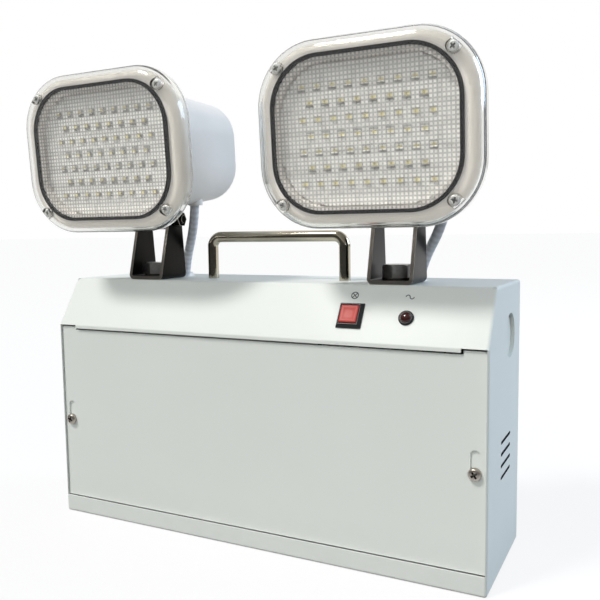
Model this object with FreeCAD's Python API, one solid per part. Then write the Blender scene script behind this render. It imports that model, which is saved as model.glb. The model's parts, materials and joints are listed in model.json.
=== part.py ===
import FreeCAD, Part
import math
import os

from FreeCAD import Placement, Rotation, Vector

# Twin-head emergency light: a folded steel case with a sliding front cover, a carrying handle,
# and two swivelling lamp heads on steel yokes.
# Millimetres. The origin is the centre of the face it stands on, +X to the viewer's right,
# +Y to the back and +Z up.

# Case
CASE_W = 330.0
CASE_D = 96.0
CASE_H = 183.0
SHEET = 1.2
BEND_R = 2.0
HOLE_FIT = 0.1
SLOPE_BACK = 21.5
SLOPE_RISE = 34.5
STRIP_H = 12.9
LIP_H = 2.4
LIP_INSET = 16.5
RELIEF_R = 1.4

# Openings in the case
VENT_L = 29.0
VENT_W = 2.2
VENT_Y = 3.0
VENT_Z = 61.4
VENT_PITCH = 7.6
VENT_ROWS = 4
KNOCKOUT_R = 14.5
KNOCKOUT_Y = 14.0
KNOCKOUT_Z = 149.0
KNOCKOUT_DEPTH = 2.5
KNOCKOUT_SLOT = 1.2
KNOCKOUT_ARC = 22.0
KNOCKOUT_TURN = 134.0
WALL_HOLE_R = 3.0
WALL_HOLE_INSET = 30.0
WALL_HOLE_Z = 150.0

# Front cover, its rails and screws
COVER_GAP = 0.6
COVER_SIDE_GAP = 0.4
COVER_TRAVEL = 10.0
COVER_SEAM = 1.3
COVER_FOOT_SEAM = 0.5
COVER_EDGE_R = 1.0
COVER_SCREW_INSET = 8.0
COVER_SCREW_Z = 74.3
COVER_SLOT_W = 5.8
COVER_SLOT_SPARE = 1.4
RAIL_SHEET = 1.5
RAIL_W = 16.0
RAIL_D = 15.0
RAIL_END = 8.0
M4_R = 2.0
M4_HEAD_R = 4.0
M4_HEAD_H = 2.8
M4_HEAD_EDGE = 1.4
M4_HEAD_GAP = 0.1
M4_LENGTH = 12.0
CLINCH_AF = 8.0
CLINCH_H = 5.0

# Carrying handle
HANDLE_ROD_R = 4.0
HANDLE_SPAN = 108.6
HANDLE_Y = 2.0
HANDLE_RISE = 35.2
HANDLE_BEND_R = 7.5
HANDLE_TAIL = 10.0
HANDLE_NUT_AF = 13.0
HANDLE_NUT_H = 6.5
HANDLE_WASHER_R = 8.0

# Test switch and indicator, placed in from the right side and up the sloped panel
SWITCH_INSET = 89.6
SWITCH_UP = 17.8
SWITCH_W = 16.8
SWITCH_H = 17.6
SWITCH_FOOT = 0.8
SWITCH_FRAME = 3.4
SWITCH_TAPER = 1.4
SWITCH_BODY = 14.4
SWITCH_DEPTH = 19.0
BUTTON_W = 12.2
BUTTON_GAP = 0.3
BUTTON_TALL = 4.2
BUTTON_BEVEL = 0.9
BUTTON_STEM = 5.0
BUTTON_TRAVEL = 2.5
BUTTON_FLOOR = 0.8
LAMP_INSET = 52.7
LAMP_UP = 17.9
LAMP_BEZEL_R = 4.9
LAMP_BEZEL_H = 1.5
LAMP_DOME_R = 3.6
LAMP_DOME_H = 2.2
LAMP_BODY_R = 3.2
LAMP_BODY_L = 14.0

# Yokes and the bolts that they turn on
HEAD_INSET = 68.0
PAN_Y = -11.0
YOKE_SHEET = 2.5
YOKE_GAP = 26.0
YOKE_D = 30.0
YOKE_BEND_R = 1.2
PIVOT_BACK = 3.5
PIVOT_RISE = 45.0
EAR_R = 7.5
PAN_R = 5.0
PAN_FIT = 0.05
PAN_HEAD_AF = 17.0
PAN_HEAD_H = 8.5
PAN_HEAD_FLARE = 1.3
PAN_WASHER_R = 10.0
PAN_WASHER_H = 1.5
PAN_NUT_H = 8.0
PAN_END = 3.0
PIVOT_R = 3.0
PIVOT_FIT = 0.05
PIVOT_AF = 10.0
PIVOT_HEAD_H = 4.0
PIVOT_NUT_H = 5.0
PIVOT_WASHER_R = 6.0
PIVOT_WASHER_H = 1.2
PIVOT_END = 1.5

# Lamp head. Depths run back from the lens's front face
HEAD_TILT = 4.0
LENS_AHEAD = 63.0
HEAD_UP = 49.8
LENS_W = 138.0
LENS_H = 110.2
LENS_R = 38.0
LENS_DEPTH = 13.0
LENS_WALL = 2.5
LENS_EDGE_R = 8.5
SEAL_W = 114.6
SEAL_H = 90.2
SEAL_R = 30.0
SEAL_BAND = 2.2
SEAL_DEPTH = 2.0
RIM_GAP = 0.4
RIM_DEPTH = 6.0
RIM_EDGE_R = 5.0
SHELL_W = 117.0
SHELL_H = 89.0
SHELL_R = 34.0
SHELL_TAPER = 8.5
SHELL_DEPTH = 105.0
SHELL_WALL = 2.5
SHELL_REAR_R = 11.0
LEDGE_W = 4.0
LEDGE_H = 2.4
LUG_GAP = 0.3
LUG_FOOT = 34.0
LENS_SCREW_X = 52.9
LENS_SCREW_Z = 40.3
LENS_SCREW_R = 1.5
LENS_SCREW_HEAD_R = 3.1
LENS_SCREW_HEAD_H = 1.6
LENS_SCREW_L = 7.1
LENS_BOSS_R = 4.6
POCKET_R = 3.7
POCKET_DEPTH = 3.0
BOARD_T = 1.6
BOARD_BACK = 11.6
BOARD_GAP = 0.4
LED_W = 3.5
LED_H = 2.8
LED_T = 1.1
LED_PITCH_X = 10.0
LED_PITCH_Z = 9.4
LED_ROWS = 7
LED_COLUMNS = 9

# Leads between the case and the heads, with their bushes
LEAD_R = 3.4
LEAD_GAP = 0.3
LEAD_HOLE_X = 3.0
LEAD_HOLE_Y = 19.0
BUSH_R = 6.0
BUSH_FLANGE_R = 8.0
BUSH_FLANGE_H = 3.0
BUSH_GAP = 1.2
BUSH_FLARE = 2.0
GLAND_X = 34.0
GLAND_BACK = 1.36
GLAND_R = 5.2
GLAND_OUT = 0.4
GLAND_IN = 3.0
GLAND_FLARE = 1.0
ARC_SHARE = 0.45

# The lead's corner points, from below the case's top up into the head, beside each head's centre
LEAD_ROUTE = [
    (LEAD_HOLE_X, LEAD_HOLE_Y, 158.0),
    (LEAD_HOLE_X, LEAD_HOLE_Y, 186.5),
    (GLAND_X, -6.31, 230.5),
    (GLAND_X, -8.23, 257.92),
]

# Battery, transformer and charger inside the case
BATTERY_W = 151.0
BATTERY_D = 65.0
BATTERY_H = 94.0
BATTERY_SIDE_GAP = 24.3
BATTERY_EDGE = 2.0
TAB_W = 4.75
TAB_T = 0.8
TAB_H = 6.5
TAB_INSET = 12.0
STRAP_T = 1.5
STRAP_W = 20.0
STRAP_FOOT = 16.0
STRAP_SCREW_R = 2.0
STRAP_SCREW_HEAD_R = 3.8
STRAP_SCREW_HEAD_H = 2.4
CORE_W = 66.0
CORE_H = 55.0
CORE_D = 34.0
CORE_INSET = 73.0
CORE_Y = 10.0
CORE_LIMB = 11.0
COIL_GAP = 0.5
COIL_OVERHANG = 10.0
BOARD_INSET = 99.0
BOARD_LIFT = 4.0
CHARGER_W = 100.0
CHARGER_H = 60.0
CHARGER_T = 1.6
STANDOFF_H = 8.0
STANDOFF_R = 3.0
STANDOFF_INSET = 5.0
SINK_W = 30.0
SINK_H = 22.0
SINK_D = 14.0
SINK_FIN = 2.0
SINK_FINS = 5
RELAY_W = 19.0
RELAY_H = 15.5
RELAY_D = 15.5
CAP_R = 6.5
CAP_L = 20.0
CAP_PITCH = 18.0
BLOCK_W = 44.0
BLOCK_H = 17.0
BLOCK_D = 19.0
BLOCK_INSET = 37.0
BLOCK_Z = 66.0
BLOCK_WAYS = 4

# Places that follow from the sizes above
HALF_W = CASE_W / 2
FRONT_Y = -CASE_D / 2
BACK_Y = CASE_D / 2
INNER_BACK = BACK_Y - SHEET
INNER_X = HALF_W - SHEET
SLOPE_Z = CASE_H - SLOPE_RISE
COVER_SCREW_X = HALF_W - COVER_SCREW_INSET
WALL_HOLE_X = HALF_W - WALL_HOLE_INSET
SWITCH_X = HALF_W - SWITCH_INSET
LAMP_X = HALF_W - LAMP_INSET
HEAD_X = HALF_W - HEAD_INSET
BATTERY_X = BATTERY_SIDE_GAP + BATTERY_W / 2 - INNER_X
CORE_X = HALF_W - CORE_INSET
BOARD_X = HALF_W - BOARD_INSET
BOARD_Z = SHEET + BATTERY_H + BOARD_LIFT + CHARGER_H / 2
BLOCK_X = HALF_W - BLOCK_INSET
TOP_UNDER = CASE_H - SHEET
LIP_Z = SLOPE_Z - LIP_H
LIP_X = HALF_W - LIP_INSET
SLOPE_ANGLE = math.degrees(math.atan2(SLOPE_RISE, SLOPE_BACK))
COVER_Y = FRONT_Y + SHEET + COVER_GAP
COVER_BACK = COVER_Y + SHEET
COVER_BOTTOM = STRIP_H + COVER_FOOT_SEAM
COVER_TOP = LIP_Z - COVER_SEAM
COVER_SLOT_L = COVER_SLOT_W + COVER_TRAVEL + COVER_SLOT_SPARE
PIVOT_Y = PAN_Y + PIVOT_BACK
PIVOT_Z = CASE_H + PIVOT_RISE
YOKE_HALF = YOKE_GAP / 2 + YOKE_SHEET
LUG_HALF = YOKE_GAP / 2 - LUG_GAP
SEAT = LENS_WALL + SEAL_DEPTH
X_AXIS = Vector(1, 0, 0)
Y_AXIS = Vector(0, 1, 0)
Z_AXIS = Vector(0, 0, 1)
SIDES = {"left": -HEAD_X, "right": HEAD_X}


def block(x, y, z):
    """A box between two values on each axis."""
    size = [high - low for low, high in (x, y, z)]
    return Part.makeBox(*size, Vector(x[0], y[0], z[0]))


def rod(radius, start, axis, length):
    return Part.makeCylinder(radius, length, Vector(*start), axis)


def ring(outer, inner, start, axis, length):
    return rod(outer, start, axis, length).cut(rod(inner, start, axis, length))


def flare(low_r, high_r, start, axis, length):
    """A cone that opens along its axis."""
    return Part.makeCone(low_r, high_r, length, Vector(*start), axis)


def prism(points, along):
    """A flat outline pushed along a vector."""
    corners = [Vector(*p) for p in points]
    return Part.Face(Part.makePolygon(corners + corners[:1])).extrude(along)


def rectangle(half_w, half_h, height):
    corners = [Vector(sx * half_w, sy * half_h, height) for sx, sy in [(1, 1), (-1, 1), (-1, -1), (1, -1)]]
    return Part.makePolygon(corners + corners[:1])


def hexagon(across, start, axis, length):
    """A hexagonal prism, given its size across the flats."""
    corner = across / math.sqrt(3)
    turns = [math.radians(60 * i + 30) for i in range(6)]
    solid = prism([(corner * math.cos(a), corner * math.sin(a), 0) for a in turns], Vector(0, 0, length))
    solid.Placement = Placement(Vector(*start), Rotation(Z_AXIS, axis))
    return solid


def round_wire(half_w, half_h, radius, depth):
    """A rounded rectangle in the XZ plane, at one depth along Y."""
    cx, cz = half_w - radius, half_h - radius
    edges = []
    for i, (sx, sz) in enumerate([(1, 1), (-1, 1), (-1, -1), (1, -1)]):
        start = math.radians(90 * i)
        centre = Vector(sx * cx, depth, sz * cz)
        spots = [start, start + math.pi / 4, start + math.pi / 2]
        a, b, c = [centre + Vector(radius * math.cos(t), 0, radius * math.sin(t)) for t in spots]
        if edges:
            edges.append(Part.LineSegment(edges[-1].valueAt(edges[-1].LastParameter), a).toShape())
        edges.append(Part.Arc(a, b, c).toShape())
    first, last = edges[0], edges[-1]
    ends = last.valueAt(last.LastParameter), first.valueAt(first.FirstParameter)
    edges.append(Part.LineSegment(*ends).toShape())
    return Part.Wire(edges)


def round_slab(half_w, half_h, radius, near, far):
    return Part.Face(round_wire(half_w, half_h, radius, near)).extrude(Vector(0, far - near, 0))


def edges_at(shape, depth):
    """The edges that lie wholly at one depth along Y."""
    boxes = [(e, e.BoundBox) for e in shape.Edges]
    return [e for e, box in boxes if abs(box.YMin - depth) < 1e-4 and abs(box.YMax - depth) < 1e-4]


def on_slope(shape, x, up):
    """Moves a shape from the XY plane onto the sloped panel, with its Z out of the panel."""
    lean = math.radians(SLOPE_ANGLE)
    spot = Vector(x, FRONT_Y + up * math.cos(lean), SLOPE_Z + up * math.sin(lean))
    shape.Placement = Placement(spot, Rotation(X_AXIS, SLOPE_ANGLE))
    return shape


def case_form(inset, radius):
    """The case's outline pulled in by inset, with every edge rounded."""
    lean = math.radians(SLOPE_ANGLE)
    foot = inset * math.tan((math.pi / 2 - lean) / 2)
    brow = inset * math.tan(lean / 2)
    points = [
        (0, FRONT_Y + inset, inset),
        (0, BACK_Y - inset, inset),
        (0, BACK_Y - inset, CASE_H - inset),
        (0, FRONT_Y + SLOPE_BACK + brow, CASE_H - inset),
        (0, FRONT_Y + inset, SLOPE_Z - foot),
    ]
    solid = prism(points, Vector(CASE_W - 2 * inset, 0, 0))
    solid.translate(Vector(inset - HALF_W, 0, 0))
    return solid.makeFillet(radius, solid.Edges)


def vent_slots():
    """Rows of round-ended slots through both sides."""
    cuts = []
    reach = (VENT_L - VENT_W) / 2
    half = VENT_W / 2
    across = (-HALF_W - 1, HALF_W + 1)
    for row in range(VENT_ROWS):
        z = VENT_Z + row * VENT_PITCH
        cuts.append(block(across, (VENT_Y - reach, VENT_Y + reach), (z - half, z + half)))
        for end in (-reach, reach):
            cuts.append(rod(half, (across[0], VENT_Y + end, z), X_AXIS, CASE_W + 2))
    return cuts


def sink_knockout(shell):
    """Sets a round knockout into the right side, with two short slots at its edge."""
    floor = HALF_W - KNOCKOUT_DEPTH
    cup = rod(KNOCKOUT_R + SHEET, (floor - SHEET, KNOCKOUT_Y, KNOCKOUT_Z), X_AXIS, KNOCKOUT_DEPTH)
    cuts = [rod(KNOCKOUT_R, (floor, KNOCKOUT_Y, KNOCKOUT_Z), X_AXIS, KNOCKOUT_DEPTH + 1)]
    spot = Placement(Vector(floor - SHEET - 1, KNOCKOUT_Y, KNOCKOUT_Z), Rotation(Y_AXIS, 90))
    for turn in (KNOCKOUT_TURN, KNOCKOUT_TURN + 180):
        arcs = [Part.makeCylinder(r, SHEET + 2, Vector(), Z_AXIS, KNOCKOUT_ARC)
                for r in (KNOCKOUT_R, KNOCKOUT_R - KNOCKOUT_SLOT)]
        slot = arcs[0].cut(arcs[1])
        slot.rotate(Vector(), Z_AXIS, turn)
        slot.Placement = spot.multiply(slot.Placement)
        cuts.append(slot)
    return shell.fuse(cup).cut(cuts)


def top_holes():
    """Holes in the case's top for the pan bolts, the leads' bushes and the handle."""
    under = CASE_H - SHEET - 1
    deep = SHEET + 2
    cuts = []
    for x in SIDES.values():
        cuts.append(rod(PAN_R + PAN_FIT, (x, PAN_Y, under), Z_AXIS, deep))
        cuts.append(rod(BUSH_R + HOLE_FIT, (x + LEAD_HOLE_X, LEAD_HOLE_Y, under), Z_AXIS, deep))
    for x in (-HANDLE_SPAN / 2, HANDLE_SPAN / 2):
        cuts.append(rod(HANDLE_ROD_R + HOLE_FIT, (x, HANDLE_Y, under), Z_AXIS, deep))
    return cuts


def relief_holes():
    """A small hole at each corner where the top, slope and side folds meet."""
    y = FRONT_Y + SLOPE_BACK + RELIEF_R / 2
    return [rod(RELIEF_R, (x, y, CASE_H - BEND_R - SHEET), Z_AXIS, BEND_R + SHEET + 1)
            for x in (-HALF_W + BEND_R, HALF_W - BEND_R)]


def make_case():
    shell = case_form(0, BEND_R).cut(case_form(SHEET, BEND_R - SHEET))
    depth = (FRONT_Y - 1, FRONT_Y + SHEET + BEND_R)
    cuts = [block((-INNER_X, INNER_X), depth, (STRIP_H, LIP_Z))]
    for low, high in ((-INNER_X, -LIP_X), (LIP_X, INNER_X)):
        cuts.append(block((low, high), (FRONT_Y - 1, COVER_BACK), (LIP_Z, SLOPE_Z)))
    half = SWITCH_BODY / 2
    cuts.append(on_slope(block((-half, half), (-half, half), (-SHEET - 1, 1)), SWITCH_X, SWITCH_UP))
    lamp_hole = rod(LAMP_BODY_R + HOLE_FIT, (0, 0, -SHEET - 1), Z_AXIS, SHEET + 2)
    cuts.append(on_slope(lamp_hole, LAMP_X, LAMP_UP))
    for x in (-WALL_HOLE_X, WALL_HOLE_X):
        cuts.append(rod(WALL_HOLE_R, (x, INNER_BACK - 1, WALL_HOLE_Z), Y_AXIS, SHEET + 2))
    return sink_knockout(shell.cut(cuts + relief_holes() + vent_slots() + top_holes()))


def make_cover():
    """The flat cover with an ear at each top corner, slotted so that it can slide down behind the strip."""
    half = INNER_X - COVER_SIDE_GAP
    depth = (COVER_Y, COVER_BACK)
    sheet = block((-half, half), depth, (COVER_BOTTOM, COVER_TOP))
    for low, high in ((-half, -LIP_X - COVER_SEAM), (LIP_X + COVER_SEAM, half)):
        sheet = sheet.fuse(block((low, high), depth, (COVER_TOP, SLOPE_Z - COVER_SEAM)))
    sheet = sheet.removeSplitter()
    level = [e for e in edges_at(sheet, COVER_Y) if e.BoundBox.ZLength < 1e-4]
    sheet = sheet.makeFillet(COVER_EDGE_R, [e for e in level if e.BoundBox.ZMin > COVER_TOP - 1e-4])
    radius = COVER_SLOT_W / 2
    upper = COVER_SCREW_Z + COVER_SLOT_L - COVER_SLOT_W
    cuts = []
    for x in (-COVER_SCREW_X, COVER_SCREW_X):
        cuts.append(block((x - radius, x + radius), (COVER_Y - 1, COVER_BACK + 1), (COVER_SCREW_Z, upper)))
        for z in (COVER_SCREW_Z, upper):
            cuts.append(rod(radius, (x, COVER_Y - 1, z), Y_AXIS, SHEET + 2))
    return sheet.cut(cuts)


def make_rail(side):
    """An angle inside one side wall, which the cover lies against."""
    low, high = STRIP_H + RAIL_END, LIP_Z - RAIL_END
    front = block((INNER_X - RAIL_W, INNER_X), (COVER_BACK, COVER_BACK + RAIL_SHEET), (low, high))
    web = block((INNER_X - RAIL_SHEET, INNER_X), (COVER_BACK, COVER_BACK + RAIL_D), (low, high))
    rail = front.fuse(web).removeSplitter()
    spot = (COVER_SCREW_X, COVER_BACK - 1, COVER_SCREW_Z)
    rail = rail.cut(rod(M4_R + HOLE_FIT, spot, Y_AXIS, RAIL_SHEET + 2))
    return rail if side > 0 else rail.mirror(Vector(), X_AXIS)


def cover_screws():
    solids = []
    for x in (-COVER_SCREW_X, COVER_SCREW_X):
        under = COVER_Y - M4_HEAD_GAP
        head = rod(M4_HEAD_R, (x, under - M4_HEAD_H, COVER_SCREW_Z), Y_AXIS, M4_HEAD_H)
        head = head.makeFillet(M4_HEAD_EDGE, edges_at(head, under - M4_HEAD_H))
        solids.append(head.fuse(rod(M4_R, (x, under, COVER_SCREW_Z), Y_AXIS, M4_LENGTH)).removeSplitter())
    return Part.makeCompound(solids)


def clinch_nuts():
    start = COVER_BACK + RAIL_SHEET
    solids = []
    for x in (-COVER_SCREW_X, COVER_SCREW_X):
        nut = hexagon(CLINCH_AF, (x, start, COVER_SCREW_Z), Y_AXIS, CLINCH_H)
        solids.append(nut.cut(rod(M4_R + HOLE_FIT, (x, start, COVER_SCREW_Z), Y_AXIS, CLINCH_H)))
    return Part.makeCompound(solids)


def make_handle():
    """A bent round rod whose ends pass through the case's top."""
    half, bend = HANDLE_SPAN / 2, HANDLE_BEND_R
    foot = TOP_UNDER - HANDLE_TAIL
    top = CASE_H + HANDLE_RISE - HANDLE_ROD_R
    mid = bend * (1 - math.sqrt(0.5))
    path = Part.Wire([
        Part.LineSegment(Vector(-half, HANDLE_Y, foot), Vector(-half, HANDLE_Y, top - bend)).toShape(),
        Part.Arc(Vector(-half, HANDLE_Y, top - bend), Vector(mid - half, HANDLE_Y, top - mid),
                 Vector(bend - half, HANDLE_Y, top)).toShape(),
        Part.LineSegment(Vector(bend - half, HANDLE_Y, top), Vector(half - bend, HANDLE_Y, top)).toShape(),
        Part.Arc(Vector(half - bend, HANDLE_Y, top), Vector(half - mid, HANDLE_Y, top - mid),
                 Vector(half, HANDLE_Y, top - bend)).toShape(),
        Part.LineSegment(Vector(half, HANDLE_Y, top - bend), Vector(half, HANDLE_Y, foot)).toShape(),
    ])
    section = Part.Wire(Part.makeCircle(HANDLE_ROD_R, Vector(-half, HANDLE_Y, foot), Z_AXIS))
    return path.makePipeShell([section], True, False)


def handle_washers():
    rings = [ring(HANDLE_WASHER_R, HANDLE_ROD_R + HOLE_FIT, (x, HANDLE_Y, TOP_UNDER - SHEET), Z_AXIS, SHEET)
             for x in (-HANDLE_SPAN / 2, HANDLE_SPAN / 2)]
    return Part.makeCompound(rings)


def handle_nuts():
    solids = []
    low = TOP_UNDER - SHEET - HANDLE_NUT_H
    for x in (-HANDLE_SPAN / 2, HANDLE_SPAN / 2):
        nut = hexagon(HANDLE_NUT_AF, (x, HANDLE_Y, low), Z_AXIS, HANDLE_NUT_H)
        solids.append(nut.cut(rod(HANDLE_ROD_R + HOLE_FIT, (x, HANDLE_Y, low), Z_AXIS, HANDLE_NUT_H)))
    return Part.makeCompound(solids)


def switch_body():
    """The switch's body and its frame with sloped sides, with a square well for the button."""
    half_w, half_h, half_b = SWITCH_W / 2, SWITCH_H / 2, SWITCH_BODY / 2
    foot = block((-half_w, half_w), (-half_h, half_h), (0, SWITCH_FOOT))
    outlines = [rectangle(half_w, half_h, SWITCH_FOOT),
                rectangle(half_w - SWITCH_TAPER, half_h - SWITCH_TAPER, SWITCH_FRAME)]
    frame = Part.makeLoft(outlines, True, True)
    body = block((-half_b, half_b), (-half_b, half_b), (-SWITCH_DEPTH, 0))
    well = BUTTON_W / 2 + BUTTON_GAP
    floor = -BUTTON_STEM - BUTTON_TRAVEL - BUTTON_FLOOR
    hollow = block((-well, well), (-well, well), (floor, SWITCH_FRAME + 1))
    return on_slope(frame.fuse([foot, body]).removeSplitter().cut(hollow), SWITCH_X, SWITCH_UP)


def test_button():
    half = BUTTON_W / 2
    cap = block((-half, half), (-half, half), (-BUTTON_STEM, BUTTON_TALL))
    rim = [e for e in cap.Edges if e.BoundBox.ZMin > BUTTON_TALL - 1e-4]
    return on_slope(cap.makeChamfer(BUTTON_BEVEL, rim), SWITCH_X, SWITCH_UP)


def indicator_bezel():
    collar = rod(LAMP_BEZEL_R, (0, 0, 0), Z_AXIS, LAMP_BEZEL_H)
    rim = [e for e in collar.Edges if e.BoundBox.ZMin > LAMP_BEZEL_H - 1e-4]
    collar = collar.makeChamfer(LAMP_BEZEL_R - LAMP_DOME_R - SHEET / 2, rim)
    collar = collar.fuse(rod(LAMP_BODY_R, (0, 0, -LAMP_BODY_L), Z_AXIS, LAMP_BODY_L)).removeSplitter()
    recess = rod(LAMP_DOME_R + HOLE_FIT, (0, 0, LAMP_BEZEL_H / 2), Z_AXIS, LAMP_BEZEL_H)
    return on_slope(collar.cut(recess), LAMP_X, LAMP_UP)


def indicator_lens():
    """A low dome that sits in the bezel's recess."""
    ball = (LAMP_DOME_R ** 2 + LAMP_DOME_H ** 2) / (2 * LAMP_DOME_H)
    foot = LAMP_BEZEL_H / 2
    top = LAMP_BEZEL_H + LAMP_DOME_H
    dome = Part.makeSphere(ball, Vector(0, 0, top - ball))
    dome = dome.common(rod(LAMP_DOME_R, (0, 0, foot), Z_AXIS, top))
    return on_slope(dome, LAMP_X, LAMP_UP)


def make_yoke(x):
    """A U bent from strip, with ears that narrow towards the pivot."""
    outer_r = YOKE_BEND_R + YOKE_SHEET
    tall = PIVOT_RISE + EAR_R + 1
    reach = (PAN_Y - YOKE_D / 2, PAN_Y + YOKE_D / 2)
    outside = block((-YOKE_HALF, YOKE_HALF), reach, (0, tall))
    low = [e for e in outside.Edges if e.BoundBox.ZMax < 1e-4 and e.BoundBox.XLength < 1e-4]
    outside = outside.makeFillet(outer_r, low)
    inside = block((-YOKE_GAP / 2, YOKE_GAP / 2), reach, (YOKE_SHEET, tall + 1))
    low = [e for e in inside.Edges if e.BoundBox.ZMax < YOKE_SHEET + 1e-4 and e.BoundBox.XLength < 1e-4]
    strip = outside.cut(inside.makeFillet(YOKE_BEND_R, low))
    strip = strip.common(ear_outline())
    strip = strip.cut(rod(PAN_R + PAN_FIT, (0, PAN_Y, -1), Z_AXIS, YOKE_SHEET + 2))
    across = 2 * YOKE_HALF + 2
    strip = strip.cut(rod(PIVOT_R + HOLE_FIT, (-across / 2, PIVOT_Y, PIVOT_RISE), X_AXIS, across))
    strip.translate(Vector(x, 0, CASE_H))
    return strip


def tangent_foot(y, z, side):
    """Where a line from (y, z) touches the ear's round end, on the front or the back."""
    away = math.hypot(y - PIVOT_Y, z - PIVOT_RISE)
    line = math.atan2(z - PIVOT_RISE, y - PIVOT_Y)
    turn = line + side * math.acos(EAR_R / away)
    return PIVOT_Y + EAR_R * math.cos(turn), PIVOT_RISE + EAR_R * math.sin(turn)


def ear_outline():
    """The ears' side view: straight edges up from the base that meet a round end."""
    near, far = PAN_Y - YOKE_D / 2, PAN_Y + YOKE_D / 2
    shoulder = YOKE_SHEET + YOKE_BEND_R
    front = tangent_foot(near, shoulder, -1)
    back = tangent_foot(far, shoulder, 1)
    points = [(near, 0), (far, 0), (far, shoulder), back, (PIVOT_Y, PIVOT_RISE), front, (near, shoulder)]
    width = 2 * YOKE_HALF + 2
    plate = prism([(-width / 2, y, z) for y, z in points], Vector(width, 0, 0))
    return plate.fuse(rod(EAR_R, (-width / 2, PIVOT_Y, PIVOT_RISE), X_AXIS, width)).removeSplitter()


def pan_bolts():
    solids = []
    base = CASE_H + YOKE_SHEET + PAN_WASHER_H
    tail = TOP_UNDER - PAN_WASHER_H - PAN_NUT_H - PAN_END
    for x in SIDES.values():
        head = hexagon(PAN_HEAD_AF, (x, PAN_Y, base), Z_AXIS, PAN_HEAD_H)
        flat = PAN_HEAD_AF / 2
        cone = flare(flat + PAN_HEAD_H * PAN_HEAD_FLARE, flat, (x, PAN_Y, base), Z_AXIS, PAN_HEAD_H)
        shank = rod(PAN_R, (x, PAN_Y, tail), Z_AXIS, base - tail)
        solids.append(head.common(cone).fuse(shank).removeSplitter())
    return Part.makeCompound(solids)


def pan_washers():
    rings = []
    for x in SIDES.values():
        for z in (CASE_H + YOKE_SHEET, TOP_UNDER - PAN_WASHER_H):
            rings.append(ring(PAN_WASHER_R, PAN_R + HOLE_FIT, (x, PAN_Y, z), Z_AXIS, PAN_WASHER_H))
    return Part.makeCompound(rings)


def pan_nuts():
    solids = []
    low = TOP_UNDER - PAN_WASHER_H - PAN_NUT_H
    for x in SIDES.values():
        nut = hexagon(PAN_HEAD_AF, (x, PAN_Y, low), Z_AXIS, PAN_NUT_H)
        solids.append(nut.cut(rod(PAN_R + HOLE_FIT, (x, PAN_Y, low), Z_AXIS, PAN_NUT_H)))
    return Part.makeCompound(solids)


def pivot_bolt(x):
    out = YOKE_HALF + PIVOT_WASHER_H
    head = hexagon(PIVOT_AF, (x - out - PIVOT_HEAD_H, PIVOT_Y, PIVOT_Z), X_AXIS, PIVOT_HEAD_H)
    shank = rod(PIVOT_R, (x - out, PIVOT_Y, PIVOT_Z), X_AXIS, 2 * out + PIVOT_NUT_H + PIVOT_END)
    return head.fuse(shank).removeSplitter()


def pivot_nut(x):
    start = (x + YOKE_HALF + PIVOT_WASHER_H, PIVOT_Y, PIVOT_Z)
    nut = hexagon(PIVOT_AF, start, X_AXIS, PIVOT_NUT_H)
    return nut.cut(rod(PIVOT_R + HOLE_FIT, start, X_AXIS, PIVOT_NUT_H))


def pivot_washers(x):
    rings = [ring(PIVOT_WASHER_R, PIVOT_R + HOLE_FIT, (x + side, PIVOT_Y, PIVOT_Z), X_AXIS, PIVOT_WASHER_H)
             for side in (-YOKE_HALF - PIVOT_WASHER_H, YOKE_HALF)]
    return Part.makeCompound(rings)


def on_head(shape, x):
    """Moves a shape from the lens's own frame, origin on its front face, onto a head at its tilt."""
    shape.translate(Vector(0, -LENS_AHEAD, HEAD_UP))
    spot = Placement(Vector(x, PIVOT_Y, PIVOT_Z), Rotation(X_AXIS, HEAD_TILT))
    shape.Placement = spot.multiply(shape.Placement)
    return shape


def corner_spots():
    return [(sx * LENS_SCREW_X, sz * LENS_SCREW_Z) for sx in (-1, 1) for sz in (-1, 1)]


def screw_pocket(px, pz):
    """A round-ended channel round one lens screw, which runs out at the lens's edge."""
    out = math.hypot(LENS_W, LENS_H) / 2 - math.hypot(px, pz)
    channel = block((0, out), (-1, POCKET_DEPTH), (-POCKET_R, POCKET_R))
    channel = channel.fuse(rod(POCKET_R, (0, -1, 0), Y_AXIS, POCKET_DEPTH + 1)).removeSplitter()
    channel.rotate(Vector(), Y_AXIS, -math.degrees(math.atan2(pz, px)))
    channel.translate(Vector(px, 0, pz))
    return channel


def make_lens(x):
    """A clear moulded tray with a broad round edge and a screw pocket in each corner."""
    half_w, half_h = LENS_W / 2, LENS_H / 2
    outside = round_slab(half_w, half_h, LENS_R, 0, LENS_DEPTH)
    outside = outside.makeFillet(LENS_EDGE_R, edges_at(outside, 0))
    inner = half_w - LENS_WALL, half_h - LENS_WALL, LENS_R - LENS_WALL
    inside = round_slab(*inner, LENS_WALL, LENS_DEPTH + 1)
    inside = inside.makeFillet(LENS_EDGE_R - LENS_WALL, edges_at(inside, LENS_WALL))
    bosses = [rod(LENS_BOSS_R, (px, LENS_WALL / 2, pz), Y_AXIS, SEAT - LENS_WALL / 2)
              for px, pz in corner_spots()]
    tray = outside.cut(inside).fuse([b.common(outside) for b in bosses]).removeSplitter()
    cuts = [screw_pocket(px, pz) for px, pz in corner_spots()]
    cuts += [rod(LENS_SCREW_R + HOLE_FIT, (px, -1, pz), Y_AXIS, LENS_DEPTH) for px, pz in corner_spots()]
    return on_head(tray.cut(cuts), x)


def make_seal(x):
    half_w, half_h, half_b = SEAL_W / 2, SEAL_H / 2, SEAL_BAND / 2
    outer = round_slab(half_w + half_b, half_h + half_b, SEAL_R + half_b, LENS_WALL, SEAT)
    inner = round_slab(half_w - half_b, half_h - half_b, SEAL_R - half_b, LENS_WALL, SEAT)
    return on_head(outer.cut(inner), x)


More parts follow.
